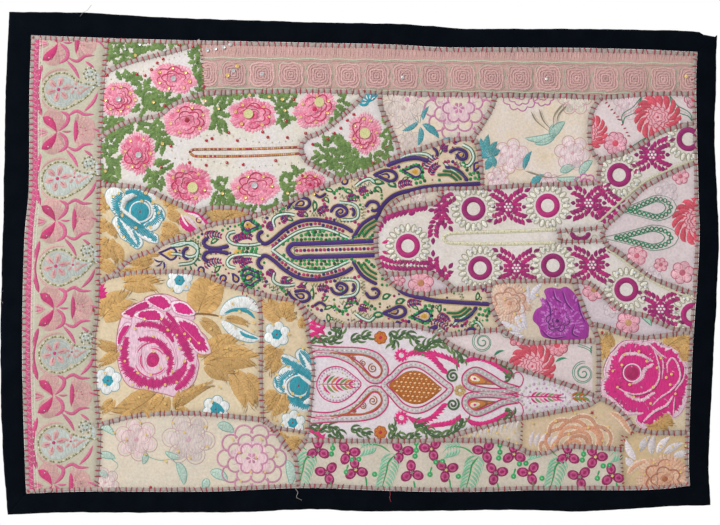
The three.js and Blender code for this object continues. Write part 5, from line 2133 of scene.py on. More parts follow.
def sew_spiral(work):
    coil(work, (188, -490.6), 18.5, 60)
    coil(work, (343, -539), 19, 80, [(361, -532), (363, -516), (352, -502), (334, -495)])
    coil(work, (226, -476), 9, 200)
    dahlia(work, (264, -528), 35, 8)
    daisy(work, (302.5, -495), 18, 8, tint(238, 160, 172), tint(210, 70, 104), 12, CORAL)
    daisy(work, (240, -486), 12, 5, tint(238, 160, 172), tint(214, 84, 112), 12)
    daisy(work, (326, -566), 11, 6, tint(238, 160, 172), tint(214, 84, 112), 12)
    for base, tip in (((357, -513), (362, -488)), ((362, -490), (357, -467)), ((205, -512), (222, -504)),
                      ((300, -522), (318, -516))):
        petal(work, base, tip, 4, JADE, 0.15)


VIOLET_HEART = (303, -458)
VIOLET_OUTLINE = [
    (282, -411), (292, -406), (306, -408), (317, -405), (331, -417), (340, -435), (347, -449), (352, -463),
    (352, -477), (348, -486), (318, -489), (289, -486), (278, -481), (273, -467), (264, -456), (268, -442),
    (278, -435), (285, -424)]


def sew_violet(work):
    full_rose(work, (229, -431), 33, 0, 0.95, (tint(226, 182, 158), tint(234, 206, 186), tint(196, 138, 116)),
              tint(200, 146, 120))
    for base, tip in (((250, -474), (211, -452)), ((252, -472), (236, -436)), ((256, -472), (250, -424)),
                      ((248, -478), (211, -474)), ((262, -424), (280, -400)), ((260, -428), (275, -414)),
                      ((262, -434), (258, -402)), ((252, -480), (226, -490))):
        leaf(work, base, tip, 10, tint(232, 224, 232), tint(190, 176, 192), 0.08)
    work.field(curve(VIOLET_OUTLINE, 2.5, True), VIOLET, 0.4)
    for _ in range(90):
        start = (RNG.uniform(284, 338), RNG.uniform(-476, -424))
        end = polar(start, RNG.uniform(6, 12), bearing_to(VIOLET_HEART, start) + 20)
        petal(work, start, end, 3.4, mixed(VIOLET, tint(212, 132, 212), RNG.uniform(0, 1)), 0.15, rise=0.7)
    for places in ([(284, -424), (292, -440), (290, -456)], [(310, -410), (316, -430), (330, -446)],
                   [(334, -424), (338, -444), (346, -462)], [(276, -470), (292, -484), (318, -482)],
                   [(296, -410), (300, -424), (312, -432)], [(330, -462), (326, -478), (338, -484)]):
        work.stroke(curve(places), 2.6, tint(104, 20, 116), "crescent", 1.1)
        work.stroke(curve(places) + (1.8, 1.2), 1.6, tint(214, 140, 214), "crescent", 1.0)
    full_rose(work, VIOLET_HEART, 24, 20, 0.95, (VIOLET, tint(208, 120, 208), tint(104, 20, 116)),
              tint(84, 16, 104))
    sequins("gold",
            [(222, -425), (237, -447), (245, -458), (271, -418), (212, -452), (230, -470), (252, -410)],
            2.0)
    stones([(306, -446), (300, -440)], 1.6)


def sew_pink_strip(work):
    for place, size in (((359, -410), 18), ((412, -461), 19), ((392, -434), 9)):
        daisy(work, place, size, 6, tint(240, 176, 190), tint(220, 100, 132), 20, tint(208, 160, 110))
    ghost_flower(work, (386, -440), 13, tint(214, 196, 202), tint(226, 210, 214))
    for base, tip in (((432, -450), (448, -466)), ((440, -452), (460, -462)), ((376, -424), (390, -420))):
        print_leaf(work, base, tip, 7, JADE, tint(178, 214, 196))


def sew_peach(work):
    for ring, radius in enumerate((56, 47, 38, 29, 20, 11)):
        line = scalloped((333 - 4 * (ring % 2), -652), radius, 7 - ring, -10, 190, 0.16, 0.86, 4 * ring)
        work.stroke(line, 10, tint(238, 210, 184), rise=0.3)
        work.stroke(line, 7.0, mixed(PEACH, tint(204, 136, 104), RNG.uniform(0.2, 0.7)), "line", 0.7,
                    ragged=0.5)
    for k in range(5):
        petal(work, (262 + 8 * k, -652), (268 + 9 * k, -626 - 2 * k), 8, tint(230, 214, 216), 0.1, rise=0.6)
    ruffled(work, [(384, -598), (402, -610), (416, -632)], 8, PEACH, tint(238, 212, 184))
    sequins("gold",
            [(285, -630), (300, -612), (330, -600), (360, -605), (380, -620), (400, -632), (350, -622),
             (320, -632), (298, -648), (372, -642), (265, -615)], 1.9)


def sew_ochre(work):
    for base, tip in (((430, -660), (446, -634)), ((448, -664), (452, -634)), ((456, -662), (476, -636)),
                      ((466, -664), (498, -646)), ((480, -668), (508, -662)), ((424, -672), (408, -640)),
                      ((420, -680), (408, -668))):
        leaf(work, base, tip, 12, tint(230, 220, 222), tint(190, 176, 182), 0.08)
    full_rose(work, (468, -701), 42, 0, 0.86, (PEACH, tint(236, 200, 172), tint(192, 116, 86)),
              tint(176, 108, 70))
    ruffled(work, [(410, -694), (424, -680), (444, -672)], 8, PEACH, tint(236, 210, 184))
    sequins("gold",
            [(440, -640), (462, -650), (480, -652), (428, -655), (500, -650), (472, -678), (450, -676),
             (492, -690), (436, -694), (466, -664)], 1.9)


def sew_gold_sliver(work):
    for k in range(9):
        petal(work, (176 + 8 * k, -640 + 2 * k), (182 + 8 * k, -620 + 1.5 * k), 5, tint(226, 214, 212), 0.1,
              rise=0.5)
    petal(work, (122, -638), (160, -632), 7, GOLD_THREAD, 0.05)
    sequins("gold",
            [(180, -634), (196, -626), (210, -630), (222, -620), (236, -628), (240, -646), (204, -640),
             (168, -634), (226, -638)], 1.9)


# ---- Patches: the ogee yoke and the orchid border ----------------------------

SILVER_GREY = tint(204, 198, 198)
HOT_PINK = tint(230, 36, 128)
OGEE_BROWN = tint(184, 102, 26)
OGEE_GREEN = tint(64, 98, 56)


def silver_band(work, outline, width=8.6, closed=False):
    """A band of grey stitches and silver beads between two bright lines."""
    line = curve(outline, 2.2, closed)
    work.stroke(line, width, SILVER_GREY, rise=0.7)
    for way in (-1, 1):
        work.stroke(line + way * (width / 2 + 0.6) * across(line), 2.0, HOT_PINK, rise=1.2)
    ring_of_dots(work, line, 3.6, 1.5, [tint(232, 230, 226), tint(160, 154, 156)], rise=1.2)


def flames(work, points, reach, colour, lean=35, pitch=5.4, width=5.8):
    """Pointed tongues that lean off one side of a line."""
    nodes = resampled(curve(points), pitch)
    for before, node in zip(nodes, nodes[1:]):
        heading = bearing_to(before, node)
        petal(work, before, polar(node, reach * RNG.uniform(0.8, 1.1), heading + lean), width,
              mixed(colour, DEEP_MAGENTA, RNG.uniform(0, 0.3)), 0.12)


def acanthus(work, points, width=4.2, ball=0.0):
    """A dark scrolling stem with leaves on both sides, small pale beads and a curled end."""
    line = curve(points, 2.2)
    work.stroke(line, width, OGEE_GREEN, "line", rise=0.9)
    nodes = resampled(line, 8.0)
    for k, (before, node) in enumerate(zip(nodes, nodes[1:])):
        heading = bearing_to(before, node)
        for side in (-1, 1):
            tip = polar(node, 1.2 * width + 6 * ((k + (side > 0)) % 2), heading + 46 * side)
            petal(work, before, tip, 3.8, mixed(OGEE_GREEN, LEAF_GREEN, RNG.uniform(0, 0.7)), 0.2 * side)
        if k % 2:
            work.dome(node, 0.9, CREAM, rise=1.4, rings=(0.7, 1.0), points=6)
    if ball:
        work.dome(line[-1], ball, OGEE_GREEN, rise=1.1, points=10)


def ogee_axis(x):
    """Where the long axis of the ogee pattern lies."""
    return -556 - 0.07 * max(0, x - 20)


OGEE_BANDS = [
    [(-82, -500), (-46, -503), (-10, -504), (12, -507), (27, -514), (37, -527), (37, -540), (28, -549),
     (16, -548), (6, -538), (-6, -525), (-26, -514), (-50, -508), (-82, -510)],
    [(243, -564), (218, -556), (197, -543), (177, -534), (162, -543), (164, -557), (184, -564), (212, -567),
     (243, -564)],
]
OGEE_DROP = [(-46, -507), (-19, -510), (1, -510), (17, -515), (28, -524), (33, -533), (30, -543), (23, -546),
             (14, -542), (5, -533), (-10, -520), (-22, -511), (-46, -507)]
OGEE_HOOK = [(240, -563), (248, -556), (250, -545), (243, -537), (234, -541), (236, -548)]
LENS_BAND = [(36, -556), (50, -543), (63, -530), (78, -525), (92, -527), (106, -535), (128, -553),
             (138, -562)]
LENS_FIELD = [(43, -557), (56, -546), (68, -537), (82, -534), (95, -537), (107, -545), (118, -555),
              (126, -562)]
OGEE_STEMS = [      # width, ball and places
    (4.0, 0, [(-78, -492), (-66, -484), (-53, -490), (-39, -488), (-30, -477), (-33, -468), (-44, -468)]),
    (3.6, 0, [(-15, -488), (0, -484), (17, -479)]),
    (3.2, 0, [(45, -475), (52, -484), (52, -493), (48, -500)]),
    (3.6, 0, [(56, -486), (68, -477), (77, -481), (84, -488), (92, -490)]),
    (6.0, 0, [(83, -499), (95, -504), (110, -491), (126, -490), (141, -497), (153, -511), (157, -524)]),
    (3.2, 2.6, [(212, -524), (222, -530), (232, -536), (231, -545), (224, -544)]),
]
OGEE_FLAMES = [     # lean, reach and places
    (45, 13, [(72, -515), (90, -512), (108, -520), (126, -540)]),
    (-45, 12, [(153, -530), (140, -520), (124, -514), (108, -510)]),
    (35, 12, [(160, -524), (180, -520), (200, -526), (222, -540)]),
    (20, 16, [(-84, -488), (-66, -480), (-54, -470)]),
]


def sew_ogee(work):
    """A long pointed yoke: a checked lens between pairs of silver-edged paisleys."""
    for way in (1, -1):
        def side(places, way=way):
            return [(x, z if way > 0 else 2 * ogee_axis(x) - z) for x, z in places]

        for band in OGEE_BANDS:
            silver_band(work, side(band))
        sew_ogee_drops(work, side, way)
        for lean, reach, places in OGEE_FLAMES:
            flames(work, side(places), reach, HOT_PINK, lean * way)
        for width, ball, places in OGEE_STEMS:
            acanthus(work, side(places), width, ball)
        work.dome(side([(-47, -477)])[0], 3.4, OGEE_GREEN, rise=1.1, points=10)
        work.stroke(spiral(side([(142, -543)])[0], 10, 1.8 * way, 60), 3.0, OGEE_GREEN, rise=1.0)
        work.stroke(curve(side(OGEE_HOOK)), 1.4, HOT_PINK, rise=1.0)
        carnation(work, side([(63, -511)])[0], way)
        daisy(work, side([(31, -484)])[0], 10, 7, tint(214, 120, 40), OGEE_BROWN, heart=ROSE_RED)
        for base, tip in (((-80, -461), (-53, -470)), ((-77, -471), (-53, -481)), ((-73, -481), (-59, -490)),
                          ((-84, -474), (-66, -466))):
            petal(work, *side([base, tip]), 8, HOT_PINK, 0.15 * way)
    sew_lens(work)
    sew_ogee_leaf(work)
    sew_ogee_tail(work)


def sew_ogee_drops(work, side, way):
    """The coiled drop in a band's wide end and the solid one beside the lens."""
    outline = curve(side(OGEE_DROP))
    work.stroke(outline, 3.0, OGEE_BROWN, rise=1.0)
    for radius, place in ((7.5, (19, -531)), (5.5, (4, -523)), (4.0, (-10, -515.5))):
        work.stroke(spiral(side([place])[0], radius, 1.7 * way, 90), 1.6, OGEE_BROWN, rise=1.0)
    heart, tip = side([(176, -547), (216, -559)])
    heading = bearing_to(heart, tip)
    for share, colour in ((1, tint(150, 90, 60)), (0.8, tint(196, 120, 54)), (0.5, CREAM),
                          (0.24, MAGENTA)):
        work.stroke(turned(paisley_spine(54 * share, 0.0), heading, heart), 20 * share, colour, "paisley",
                    1.3 - 0.8 * share)
    for place in side([(160, -574), (174, -570)]):
        work.dome(place, 1.6, HOT_PINK, rise=1.0, points=7)


def carnation(work, place, way):
    """A small carnation round a white curl."""
    work.dome(place, 13, tint(236, 200, 214), rise=0.4, points=20)
    for k in range(11):
        bearing = way * (20 + 32.7 * k)
        petal(work, polar(place, 3, bearing), polar(place, 11.5, bearing), 5.4,
              mixed(HOT_PINK, MAGENTA, RNG.uniform(0, 0.5)), 0.05)
    work.dome(place, 4, WHITE, rise=1.2, points=10)
    work.stroke(spiral(place, 3.6, 1.2), 0.6, HOT_PINK, rise=1.5)


def sew_lens(work):
    """The checked lens in its silver band."""
    def closed(half):
        return half + [(x, 2 * ogee_axis(x) - z) for x, z in half[-2:0:-1]]

    silver_band(work, closed(LENS_BAND), 8.0, closed=True)
    work.field(curve(closed(LENS_FIELD), 3.0, True), OGEE_BROWN, 0.6)
    field_x, field_z = np.array(LENS_FIELD).T
    for row in range(-3, 4):
        for column in range(-1, 13):
            x = 46 + 6.9 * column + 3.4 * (row % 2)
            z = ogee_axis(x) + 6.9 * row
            if abs(z - ogee_axis(x)) < np.interp(x, field_x, field_z - [ogee_axis(k) for k in field_x]) - 4:
                work.stroke(bowed((x - 2.6, z - 0.8), (x + 2.6, z + 0.8), 0.0, 4), 2.8, tint(240, 204, 156),
                            "crescent", 1.2)
                work.dome((x + 3.4, z + 3.4), 0.7, CREAM, rise=1.2, rings=(0.7, 1.0), points=6)
    daisy(work, (153, -565), 9, 8, tint(190, 150, 90), tint(226, 206, 160), heart=WHITE)


def sew_ogee_leaf(work):
    """The striped leaf at the pattern's wide end, in a ring of loops and beads."""
    outline = [(1, -555), (-12, -541), (-28, -530), (-44, -529), (-58, -536), (-66, -549), (-67, -556)]
    outline = curve(outline + [(x, -1112 - z) for x, z in outline[-2:0:-1]], 2.2, True)
    work.stroke(outline, 1.6, HOT_PINK, rise=1.0)
    middle = np.array([-34.0, -555.5])
    for share, pitch, radius, colours in ((0.9, 5.0, 1.9, [tint(206, 168, 200)]),
                                          (0.72, 4.2, 1.3, [tint(178, 184, 96), WHITE])):
        ring_of_dots(work, resampled((outline - middle) * share + middle, 2), pitch, radius, colours,
                     rise=1.0)
    for k in range(7):
        x = -58 + 6.6 * k
        for side in (-1, 1):
            petal(work, (x, -555.5), (x + 13, -555.5 + side * (15 - 1.6 * k)), 3.6,
                  (HOT_PINK, LEAF_GREEN, tint(214, 120, 60))[k % 3], 0.1 * side)
    work.stroke([(-64, -555.5), (-36, -555.5), (-8, -555.5)], 1.6, ROSE_RED, rise=1.2)


def sew_ogee_tail(work):
    """The small ring and the flowering tail at the pattern's point."""
    work.stroke(arc((231, -571), 3.5, 0, 360, 1.6), 1.2, HOT_PINK, rise=1.0)
    work.stroke(curve([(238, -571), (246, -572), (252, -574)]), 1.4, HOT_PINK, rise=1.0)
    middle = (286, -576)
    for size, count, radius, colours in (((39, 21), 30, 2.6, [tint(214, 176, 200), tint(206, 206, 190)]),
                                         ((29, 14), 24, 1.9, [tint(196, 140, 180), WHITE])):
        for k in range(count):
            reach = 1 - 0.25 * math.cos(math.radians(360 * k / count))
            place = middle + polar((0, 0), 1, 360 * k / count) * size * np.array([1, reach])
            work.dome(place, radius, colours[k % 2], rise=1.0, points=7)
    for k in range(7):
        x = 262 + 6.4 * k
        for side in (-1, 1):
            petal(work, (x, -576), (x + 11, -576 + side * (9 - 0.8 * k)), 3.0,
                  (HOT_PINK, LEAF_GREEN, PINK)[k % 3], 0.1 * side)
    work.stroke(bowed((250, -575), (316, -577), 0.02), 1.8, MAGENTA, rise=1.2)
    for k in range(4):
        for side in (-1, 1):
            petal(work, (324 + 6 * k, -576), (336 + 6 * k, -576 + 8 * side), 4.2,
                  (OGEE_BROWN, LEAF_GREEN)[k % 2], 0.1)


def orchid(work, centre, turn):
    """A flower of three veined petals."""
    for bearing in (90, 210, 330):
        bearing += turn
        middle = polar(centre, 10.2, bearing)
        for share, colour, rise in ((1.0, tint(150, 22, 90), 0.6), (0.76, tint(206, 76, 138), 0.9),
                                    (0.5, tint(166, 30, 98), 1.1)):
            work.dome(middle, 10.4 * share, colour, rise=rise, points=14, squash=0.78, angle=bearing)
        work.stroke(bowed(polar(middle, 8, bearing + 180), polar(middle, 8, bearing), 0), 0.9,
                    tint(104, 10, 50), "crescent", 1.4)
        for way in (-1, 1):
            work.stroke(arc(middle, 5, bearing + way * 30, bearing + way * 150, 1.8), 0.5,
                        tint(236, 150, 184), rise=1.2)
    for k in range(5):
        petal(work, centre, polar(centre, 3.6, 72 * k), 1.2, tint(190, 196, 176), rise=1.6)


FERN_PALE = tint(150, 208, 176)
ORCHIDS = [
    (-65, -657), (-19, -661), (-51, -692), (-7, -687), (63, -659), (109, -655), (79, -691), (132, -687),
    (191, -658), (236, -663), (208, -692), (260, -692), (319, -665), (361, -667), (337, -698), (387, -696),
]


def sew_orchid(work):
    """A border of orchids on pale fern stems, repeating."""
    for k in range(-1, 4):
        def at(*places, k=k):
            return [(x + 128.5 * k, z - 3.0 * k) for x, z in places]

        scroll(work, at((53, -664), (43, -676), (40, -690), (34, -712), (30, -726)), 3.2, BRIGHT_GREEN)
        for step in range(10):
            start = at((49 - 1.7 * step, -662 - 6.0 * step))[0]
            for side, lean in ((-1, 216), (1, -56)):
                petal(work, start, polar(start, 22 - 0.6 * step, lean), 3.2,
                      mixed(FERN_PALE, BRIGHT_GREEN, RNG.uniform(0, 0.45)), 0.14 * side)
        for step in range(5):
            start = at((24 - 4.5 * step, -650 - 1.2 * step))[0]
            petal(work, start, polar(start, 16, 236), 3.0, FERN_PALE, 0.14)
            petal(work, start, polar(start, 12, 130), 3.0, FERN_PALE, -0.14)
        scroll(work, at((46, -660), (30, -650), (8, -649), (-4, -660)), 2.4, BRIGHT_GREEN)
        for places in ([(110, -682), (108, -688), (107, -694)], [(136, -700), (138, -710), (137, -724)],
                       [(82, -704), (84, -716), (82, -726)], [(86, -640), (86, -652), (86, -668)]):
            scroll(work, at(*places), 3.2, BRIGHT_GREEN)
        for ball in at((86, -646), (86, -657), (84, -666), (116, -675), (126, -674), (107, -694), (22, -694)):
            work.dome(ball, 4.6, BRIGHT_GREEN, rise=1.0, points=10)
            work.dome(ball, 1.9, tint(150, 214, 160), rise=1.3, points=8)
    for number, place in enumerate(ORCHIDS):
        orchid(work, place, 40 * (number % 3) + RNG.uniform(-15, 15))
        if number % 2:
            sequins("gold", [place], 1.9)


# ---- All the patches' embroidery ---------------------------------------------

SEWN = {
    "column": sew_column, "leaf_corner": sew_leaf_corner, "rose_strip": sew_rose_strip, "band": sew_band,
    "rose_yoke": sew_rose_yoke, "tulip_yoke": sew_tulip_yoke, "peony": sew_peony, "meadow": sew_meadow,
    "dahlia": sew_dahlia, "ring_yoke": sew_ring_yoke, "ring_insert_top": sew_ring_insert_top,
    "ring_insert_bottom": sew_ring_insert_bottom, "neck": sew_neck, "paisley_yoke": sew_paisley_yoke,
    "blue_rose": sew_blue_rose, "wedge": sew_wedge, "great_rose": sew_great_rose,
    "flower_strip": sew_flower_strip, "wedge_foot": sew_wedge_foot, "pale_peony": sew_pale_peony,
    "ogee": sew_ogee, "orchid": sew_orchid, "gold_sliver": sew_gold_sliver, "spiral": sew_spiral,
    "violet": sew_violet, "pink_strip": sew_pink_strip, "second_rose": sew_second_rose,
    "peach": sew_peach, "ochre": sew_ochre,
}


def embroidery(name):
    """One patch's needlework as one piece."""
    work = Needlework(name)
    SEWN[name](work)
    piece = work.piece(f"embroidery_{name}", MATERIALS["thread"])
    return piece


def trim_pieces():
    """The sequins, beads and stones of all the patches, a piece a kind."""
    pieces = []
    for name, work in TRIMS.items():
        points, faces, _, threads = work.arrays(fades=False)
        pieces.append(textile(f"trim_{name}", points, faces, MATERIALS[name], threads=threads))
    return pieces


# ---- Patch grounds -----------------------------------------------------------

# Each patch's cloth: its colour, the colour that mottles it, and how large those spots are.
GROUNDS = {
    "column": (tint(206, 196, 176), tint(196, 192, 170), 60),
    "leaf_corner": (tint(232, 226, 222), tint(226, 216, 200), 40),
    "rose_strip": (tint(232, 226, 226), tint(226, 218, 206), 40),
    "band": (tint(210, 166, 164), tint(204, 168, 156), 50),
    "rose_yoke": (tint(232, 226, 228), tint(230, 222, 202), 60),
    "tulip_yoke": (tint(230, 224, 226), tint(226, 216, 206), 40),
    "peony": (tint(234, 214, 188), tint(232, 220, 212), 30),
    "meadow": (tint(232, 212, 184), tint(234, 222, 214), 30),
    "dahlia": (tint(234, 218, 220), tint(226, 208, 206), 45),
    "ring_yoke": (tint(234, 226, 222), tint(228, 218, 208), 40),
    "ring_insert_top": (tint(228, 216, 196), tint(222, 206, 196), 30),
    "ring_insert_bottom": (tint(226, 208, 212), tint(216, 202, 208), 30),
    "neck": (tint(232, 216, 216), tint(220, 204, 208), 40),
    "paisley_yoke": (tint(232, 216, 196), tint(220, 198, 168), 60),
    "blue_rose": (tint(228, 208, 172), tint(224, 202, 164), 40),
    "wedge": (tint(204, 172, 116), tint(190, 150, 92), 20),
    "great_rose": (tint(230, 212, 180), tint(226, 206, 172), 50),
    "flower_strip": (tint(228, 210, 178), tint(222, 200, 166), 40),
    "wedge_foot": (tint(228, 206, 170), tint(218, 190, 146), 20),
    "pale_peony": (tint(228, 214, 192), tint(222, 212, 196), 50),
    "ogee": (tint(232, 222, 228), tint(230, 218, 222), 40),
    "orchid": (tint(220, 208, 194), tint(210, 200, 182), 50),
    "gold_sliver": (tint(222, 208, 200), tint(220, 200, 156), 25),
    "spiral": (tint(234, 218, 218), tint(226, 208, 206), 40),
    "violet": (tint(222, 206, 190), tint(216, 198, 172), 35),
    "pink_strip": (tint(224, 208, 212), tint(214, 200, 208), 35),
    "second_rose": (tint(226, 208, 178), tint(222, 202, 172), 40),
    "peach": (tint(220, 196, 158), tint(218, 192, 166), 35),
    "ochre": (tint(216, 190, 146), tint(212, 186, 152), 35),
}


SEAM_SHADE = 0.3        # painted shade: how much darker the cloth is painted where a seam draws it in
SHADE_REACH = 7         # how far that painted shade reaches


def grey(shade):
    """Painted shades from 0 to 1 as the colours that a mesh carries."""
    return np.stack([shade, shade, shade, np.ones(len(shade))], axis=1)


def patch_cells(number):
    """The low corners of a patch's square cells."""
    wide, high = np.ceil((MAP_HIGH - MAP_LOW) / GROUND_CELL).astype(int)
    i, j = np.meshgrid(np.arange(wide), np.arange(high), indexing="ij")
    corners = MAP_LOW + np.stack([i, j], axis=-1) * GROUND_CELL
    middle = corners + GROUND_CELL / 2
    mine = patch_at(middle[..., 0], middle[..., 1]) == number
    return np.stack([i[mine], j[mine]], axis=1)


def ground(name):
    """A patch's cloth, one sheet over the cells that are its own."""
    cells = patch_cells(list(PATCHES).index(name))
    keys, faces = np.unique(
        np.concatenate([cells + step for step in ((0, 0), (1, 0), (1, 1), (0, 1))]), axis=0,
        return_inverse=True)
    faces = faces.reshape(4, -1).T
    places = within_panel(MAP_LOW + keys * GROUND_CELL)
    points = on_cloth(places[:, 0], places[:, 1], 0)
    base, stain, stain_size = GROUNDS[name]
    # Painted shade: the cloth's colour is darkened near the seams, standing in for the shadow where a seam
    # draws it in.
    shade = 1 - SEAM_SHADE * np.exp(-((sampled(SEAM_DISTANCE, *places.T) / SHADE_REACH) ** 2))
    piece = textile(f"patch_{name}", points, faces,
                    cloth_material(f"cloth_{name}", base, stain, stain_size), grey(shade))
    add_flat_map(piece)
    embroidery(name)


def add_flat_map(piece):
    """Maps the piece's box on the face to the whole of a square UV map named OFBake."""
    mesh = piece.data
    points = np.empty(3 * len(mesh.vertices))
    mesh.vertices.foreach_get("co", points)
    places = points.reshape(-1, 3)[:, [0, 2]]
    low, size = places.min(axis=0), np.ptp(places, axis=0).max()
    loops = np.empty(len(mesh.loops), int)
    mesh.loops.foreach_get("vertex_index", loops)
    mesh.uv_layers.new(name="OFBake").data.foreach_set("uv", ((places - low) / size)[loops].ravel())


# ---- Seams: couched ribbon and its stitches ----------------------------------

def ribbon_strip(line, pinches, width, lift):
    """Places, rises, thread coordinates, painted shades and faces of a ribbon, drawn in at its stitches."""
    along = distances_along(line)
    gap = np.abs(along[:, None] - pinches[None]).min(axis=1)
    pinch = np.exp(-((gap / 2.0) ** 2))
    wander = 1 + 0.12 * np.sin(along / 17.0) + 0.08 * np.sin(along / 5.3)
    half = width / 2 * (1 - 0.3 * pinch) * wander
    shares = np.array([-1.0, -0.7, 0.0, 0.7, 1.0])
    height = np.array([0.0, 0.8, 1.0, 0.8, 0.0])
    # Painted shade: the ribbon is darker towards its edges and where its stitches pinch it.
    shade = (1 - 0.4 * pinch)[:, None] * np.array([0.5, 0.95, 1.0, 0.95, 0.5])
    offsets = half[:, None] * shares
    places = line[:, None] + across(line)[:, None] * offsets[..., None]
    rises = -0.1 + (lift * (1 - 0.7 * pinch))[:, None] * height
    threads = np.stack(np.broadcast_arrays(along[:, None], offsets), axis=-1)
    return (places.reshape(-1, 2), rises.ravel(), threads.reshape(-1, 2), grey(shade.ravel()),
            grid_faces(len(line), len(shares)))


def stitch_places(line, pitch=STITCH_PITCH):
    """Distances along a line where the ribbon is held down, as uneven as hand sewing."""
    length = np.hypot(*np.diff(line, axis=0).T).sum()
    count = max(1, int(length / pitch))
    places = (np.arange(count) + 0.5) * length / count
    return places + RNG.normal(0, 0.9, count)


def heading_at(line, distance):
    """A place at a distance along a line, and the line's direction there."""
    along = distances_along(line)
    near, far = (np.array([np.interp(distance + d, along, line[:, axis]) for axis in (0, 1)])
                 for d in (-0.8, 0.8))
    ahead = (far - near) / max(np.hypot(*(far - near)), 1e-6)
    return (near + far) / 2, ahead


class RibbonWork:
    """Ribbon and stitches along one or more lines, kept apart as two meshes."""

    def __init__(self):
        self.points, self.threads, self.shades, self.faces, self.count = [], [], [], [], 0
        self.stitches = []

    def lay(self, line, width, reach=(4.8, 4.8), lift=1.3):
        """Lays ribbon along a line. reach is how far the bars go to each side of it."""
        pinches = stitch_places(line)
        places, rises, threads, shades, faces = ribbon_strip(line, pinches, width, lift)
        self.points.append(on_cloth(places[:, 0], places[:, 1], rises))
        self.threads.append(threads)
        self.shades.append(shades)
        self.faces.append(faces + self.count)
        self.count += len(places)
        self.sew(line, pinches, reach, lift)

    def sew(self, line, distances, reach=(2.2, 2.2), lift=0.2):
        """Bars across a line, at distances along it."""
        for distance in distances:
            self.bar(line, distance, reach, lift)

    def bar(self, line, distance, reach, lift):
        """One bar of thread across the ribbon, a little askew."""
        place, ahead = heading_at(line, distance)
        side = np.array([-ahead[1], ahead[0]])
        near, far = (way * length * RNG.uniform(0.85, 1.15) for way, length in zip((-1, 1), reach))
        slant = ahead * RNG.normal(0, 0.9)
        spine = bowed(place + side * near - slant, place + side * far + slant, RNG.normal(0, 0.03), 5)
        self.stitches.append((spine, lift))

    def pieces(self, name):
        points, faces = np.concatenate(self.points), np.concatenate(self.faces)
        ribbon = textile(f"{name}_ribbon", points, faces, MATERIALS["ribbon"],
                         np.concatenate(self.shades), np.concatenate(self.threads))
        work = Needlework()
        for spine, lift in self.stitches:
            colour = mixed(STITCH_RED, DARK_RED, RNG.uniform(0, 0.6))
            work.stroke(spine, STITCH_WIDTH, colour, rise=lift * 0.4 + 0.9)
        points, faces, tints, threads = work.arrays(fades=False)
        stitches = textile(f"{name}_stitches", points, faces, MATERIALS["thread"], tints, threads)
        points, faces, tints, threads = work.arrays(fades=False, surface=behind)
        behind_stitches = textile(f"{name}_stitches_behind", points, face_outwards(points, faces)[:, ::-1],
                                  MATERIALS["thread"], tints, threads, front=False)
        pieces = [ribbon, stitches, behind_stitches]
        return pieces


STITCH_RED = tint(184, 44, 66)
BARE_SEAMS = ("band_end", "peach_side", "peach_end", "orchid_end")      # sewn with bars and no ribbon
THIN_SEAMS = {"column": 4.2, "slit_end": 5.0, "slit_top": 5.0, "slit_bottom": 5.0, "great_rose_side": 5.6,
              "flower_strip_side": 5.6, "flower_strip_foot": 5.6}
BASTING = [     # rows of bars that hold a patch down inside its seams
    [(376, -120), (386, -134), (397, -148), (408, -166), (414, -178)],
    [(52, -176), (40, -192), (22, -214)],
    [(-184, -414), (-172, -422), (-158, -436)],
    [(-214, -284), (-196, -285), (-178, -290)],
]


def seam_ribbons():
    """Ribbon along every seam between patches."""
    work = RibbonWork()
    for name, line in SEAM_LINES.items():
        line = line[patch_at(line[:, 0], line[:, 1]) >= 0]
        if name in BARE_SEAMS:
            work.sew(line, stitch_places(line, 6.0))
        else:
            work.lay(line, THIN_SEAMS.get(name, SEAM_RIBBON_WIDTH))
    for line in BASTING:
        line = curve(line, 1.5)
        work.sew(line, stitch_places(line, 6.5))
    return work.pieces("seam")


def edge_ribbon(side):
    """The ribbon along one edge of the panel, just inside the border."""
    middle = INNER["top"].mean(axis=0) * (1, 0) + INNER["left"].mean(axis=0) * (0, 1)
    line = INNER[side]
    inward = across(line)
    inward *= np.sign(((middle - line) * inward).sum(axis=1))[:, None]
    work = RibbonWork()
    work.lay(line + inward * (EDGE_RIBBON_WIDTH / 2 + 0.4), EDGE_RIBBON_WIDTH, reach=(3.8, 3.8), lift=1.0)
    pieces = work.pieces(f"edge_{side}")
    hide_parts(f"edge_tape_{side}")
    return pieces


KNOTS = [(-388, -27), (-240, -98), (-390, -245), (20, -216), (172, -182), (126, -262), (415, -190),
         (437, -250), (204, -516), (-136, -626), (-410, -442), (372, -476), (356, -600), (-66, -392)]
THREAD_RADIUS = 0.35
THREAD_SIDES = 5
LOOSE_THREADS = [       # colour, then places and how far they stand out from the border
    (tint(120, 116, 110), [(-431, 10, 0), (-425, 16, 2), (-419, 19, 4), (-413, 27, 3)]),
    (tint(150, 146, 138), [(-549, -412, 0), (-555, -416, 3), (-553, -424, 4), (-549, -431, 1)]),
    (tint(190, 184, 172), [(-100, -716, 0), (-96, -722, 3), (-98, -729, 4), (-90, -734, 1)]),
    (STITCH_RED, [(45, -719, 0), (46, -725, 1), (45, -730, 2), (47, -736, 1)]),
]


def knots():
    """Knots of red thread with short tails, where the sewing begins or ends."""
    work = Needlework()
    for place in KNOTS:
        work.dome(place, 2.4, STITCH_RED, rise=2.2, rings=(0.6, 1.0), points=8)
        for _ in range(4):
            end = polar(place, RNG.uniform(3, 7), RNG.uniform(0, 360))
            work.stroke(bowed(place, end, RNG.uniform(-0.3, 0.3), 5), 0.5, STITCH_RED, "taper", 1.6)
    points, faces, tints, threads = work.arrays(fades=False)
    piece = textile("knots", points, faces, MATERIALS["thread"], tints, threads)
    return piece


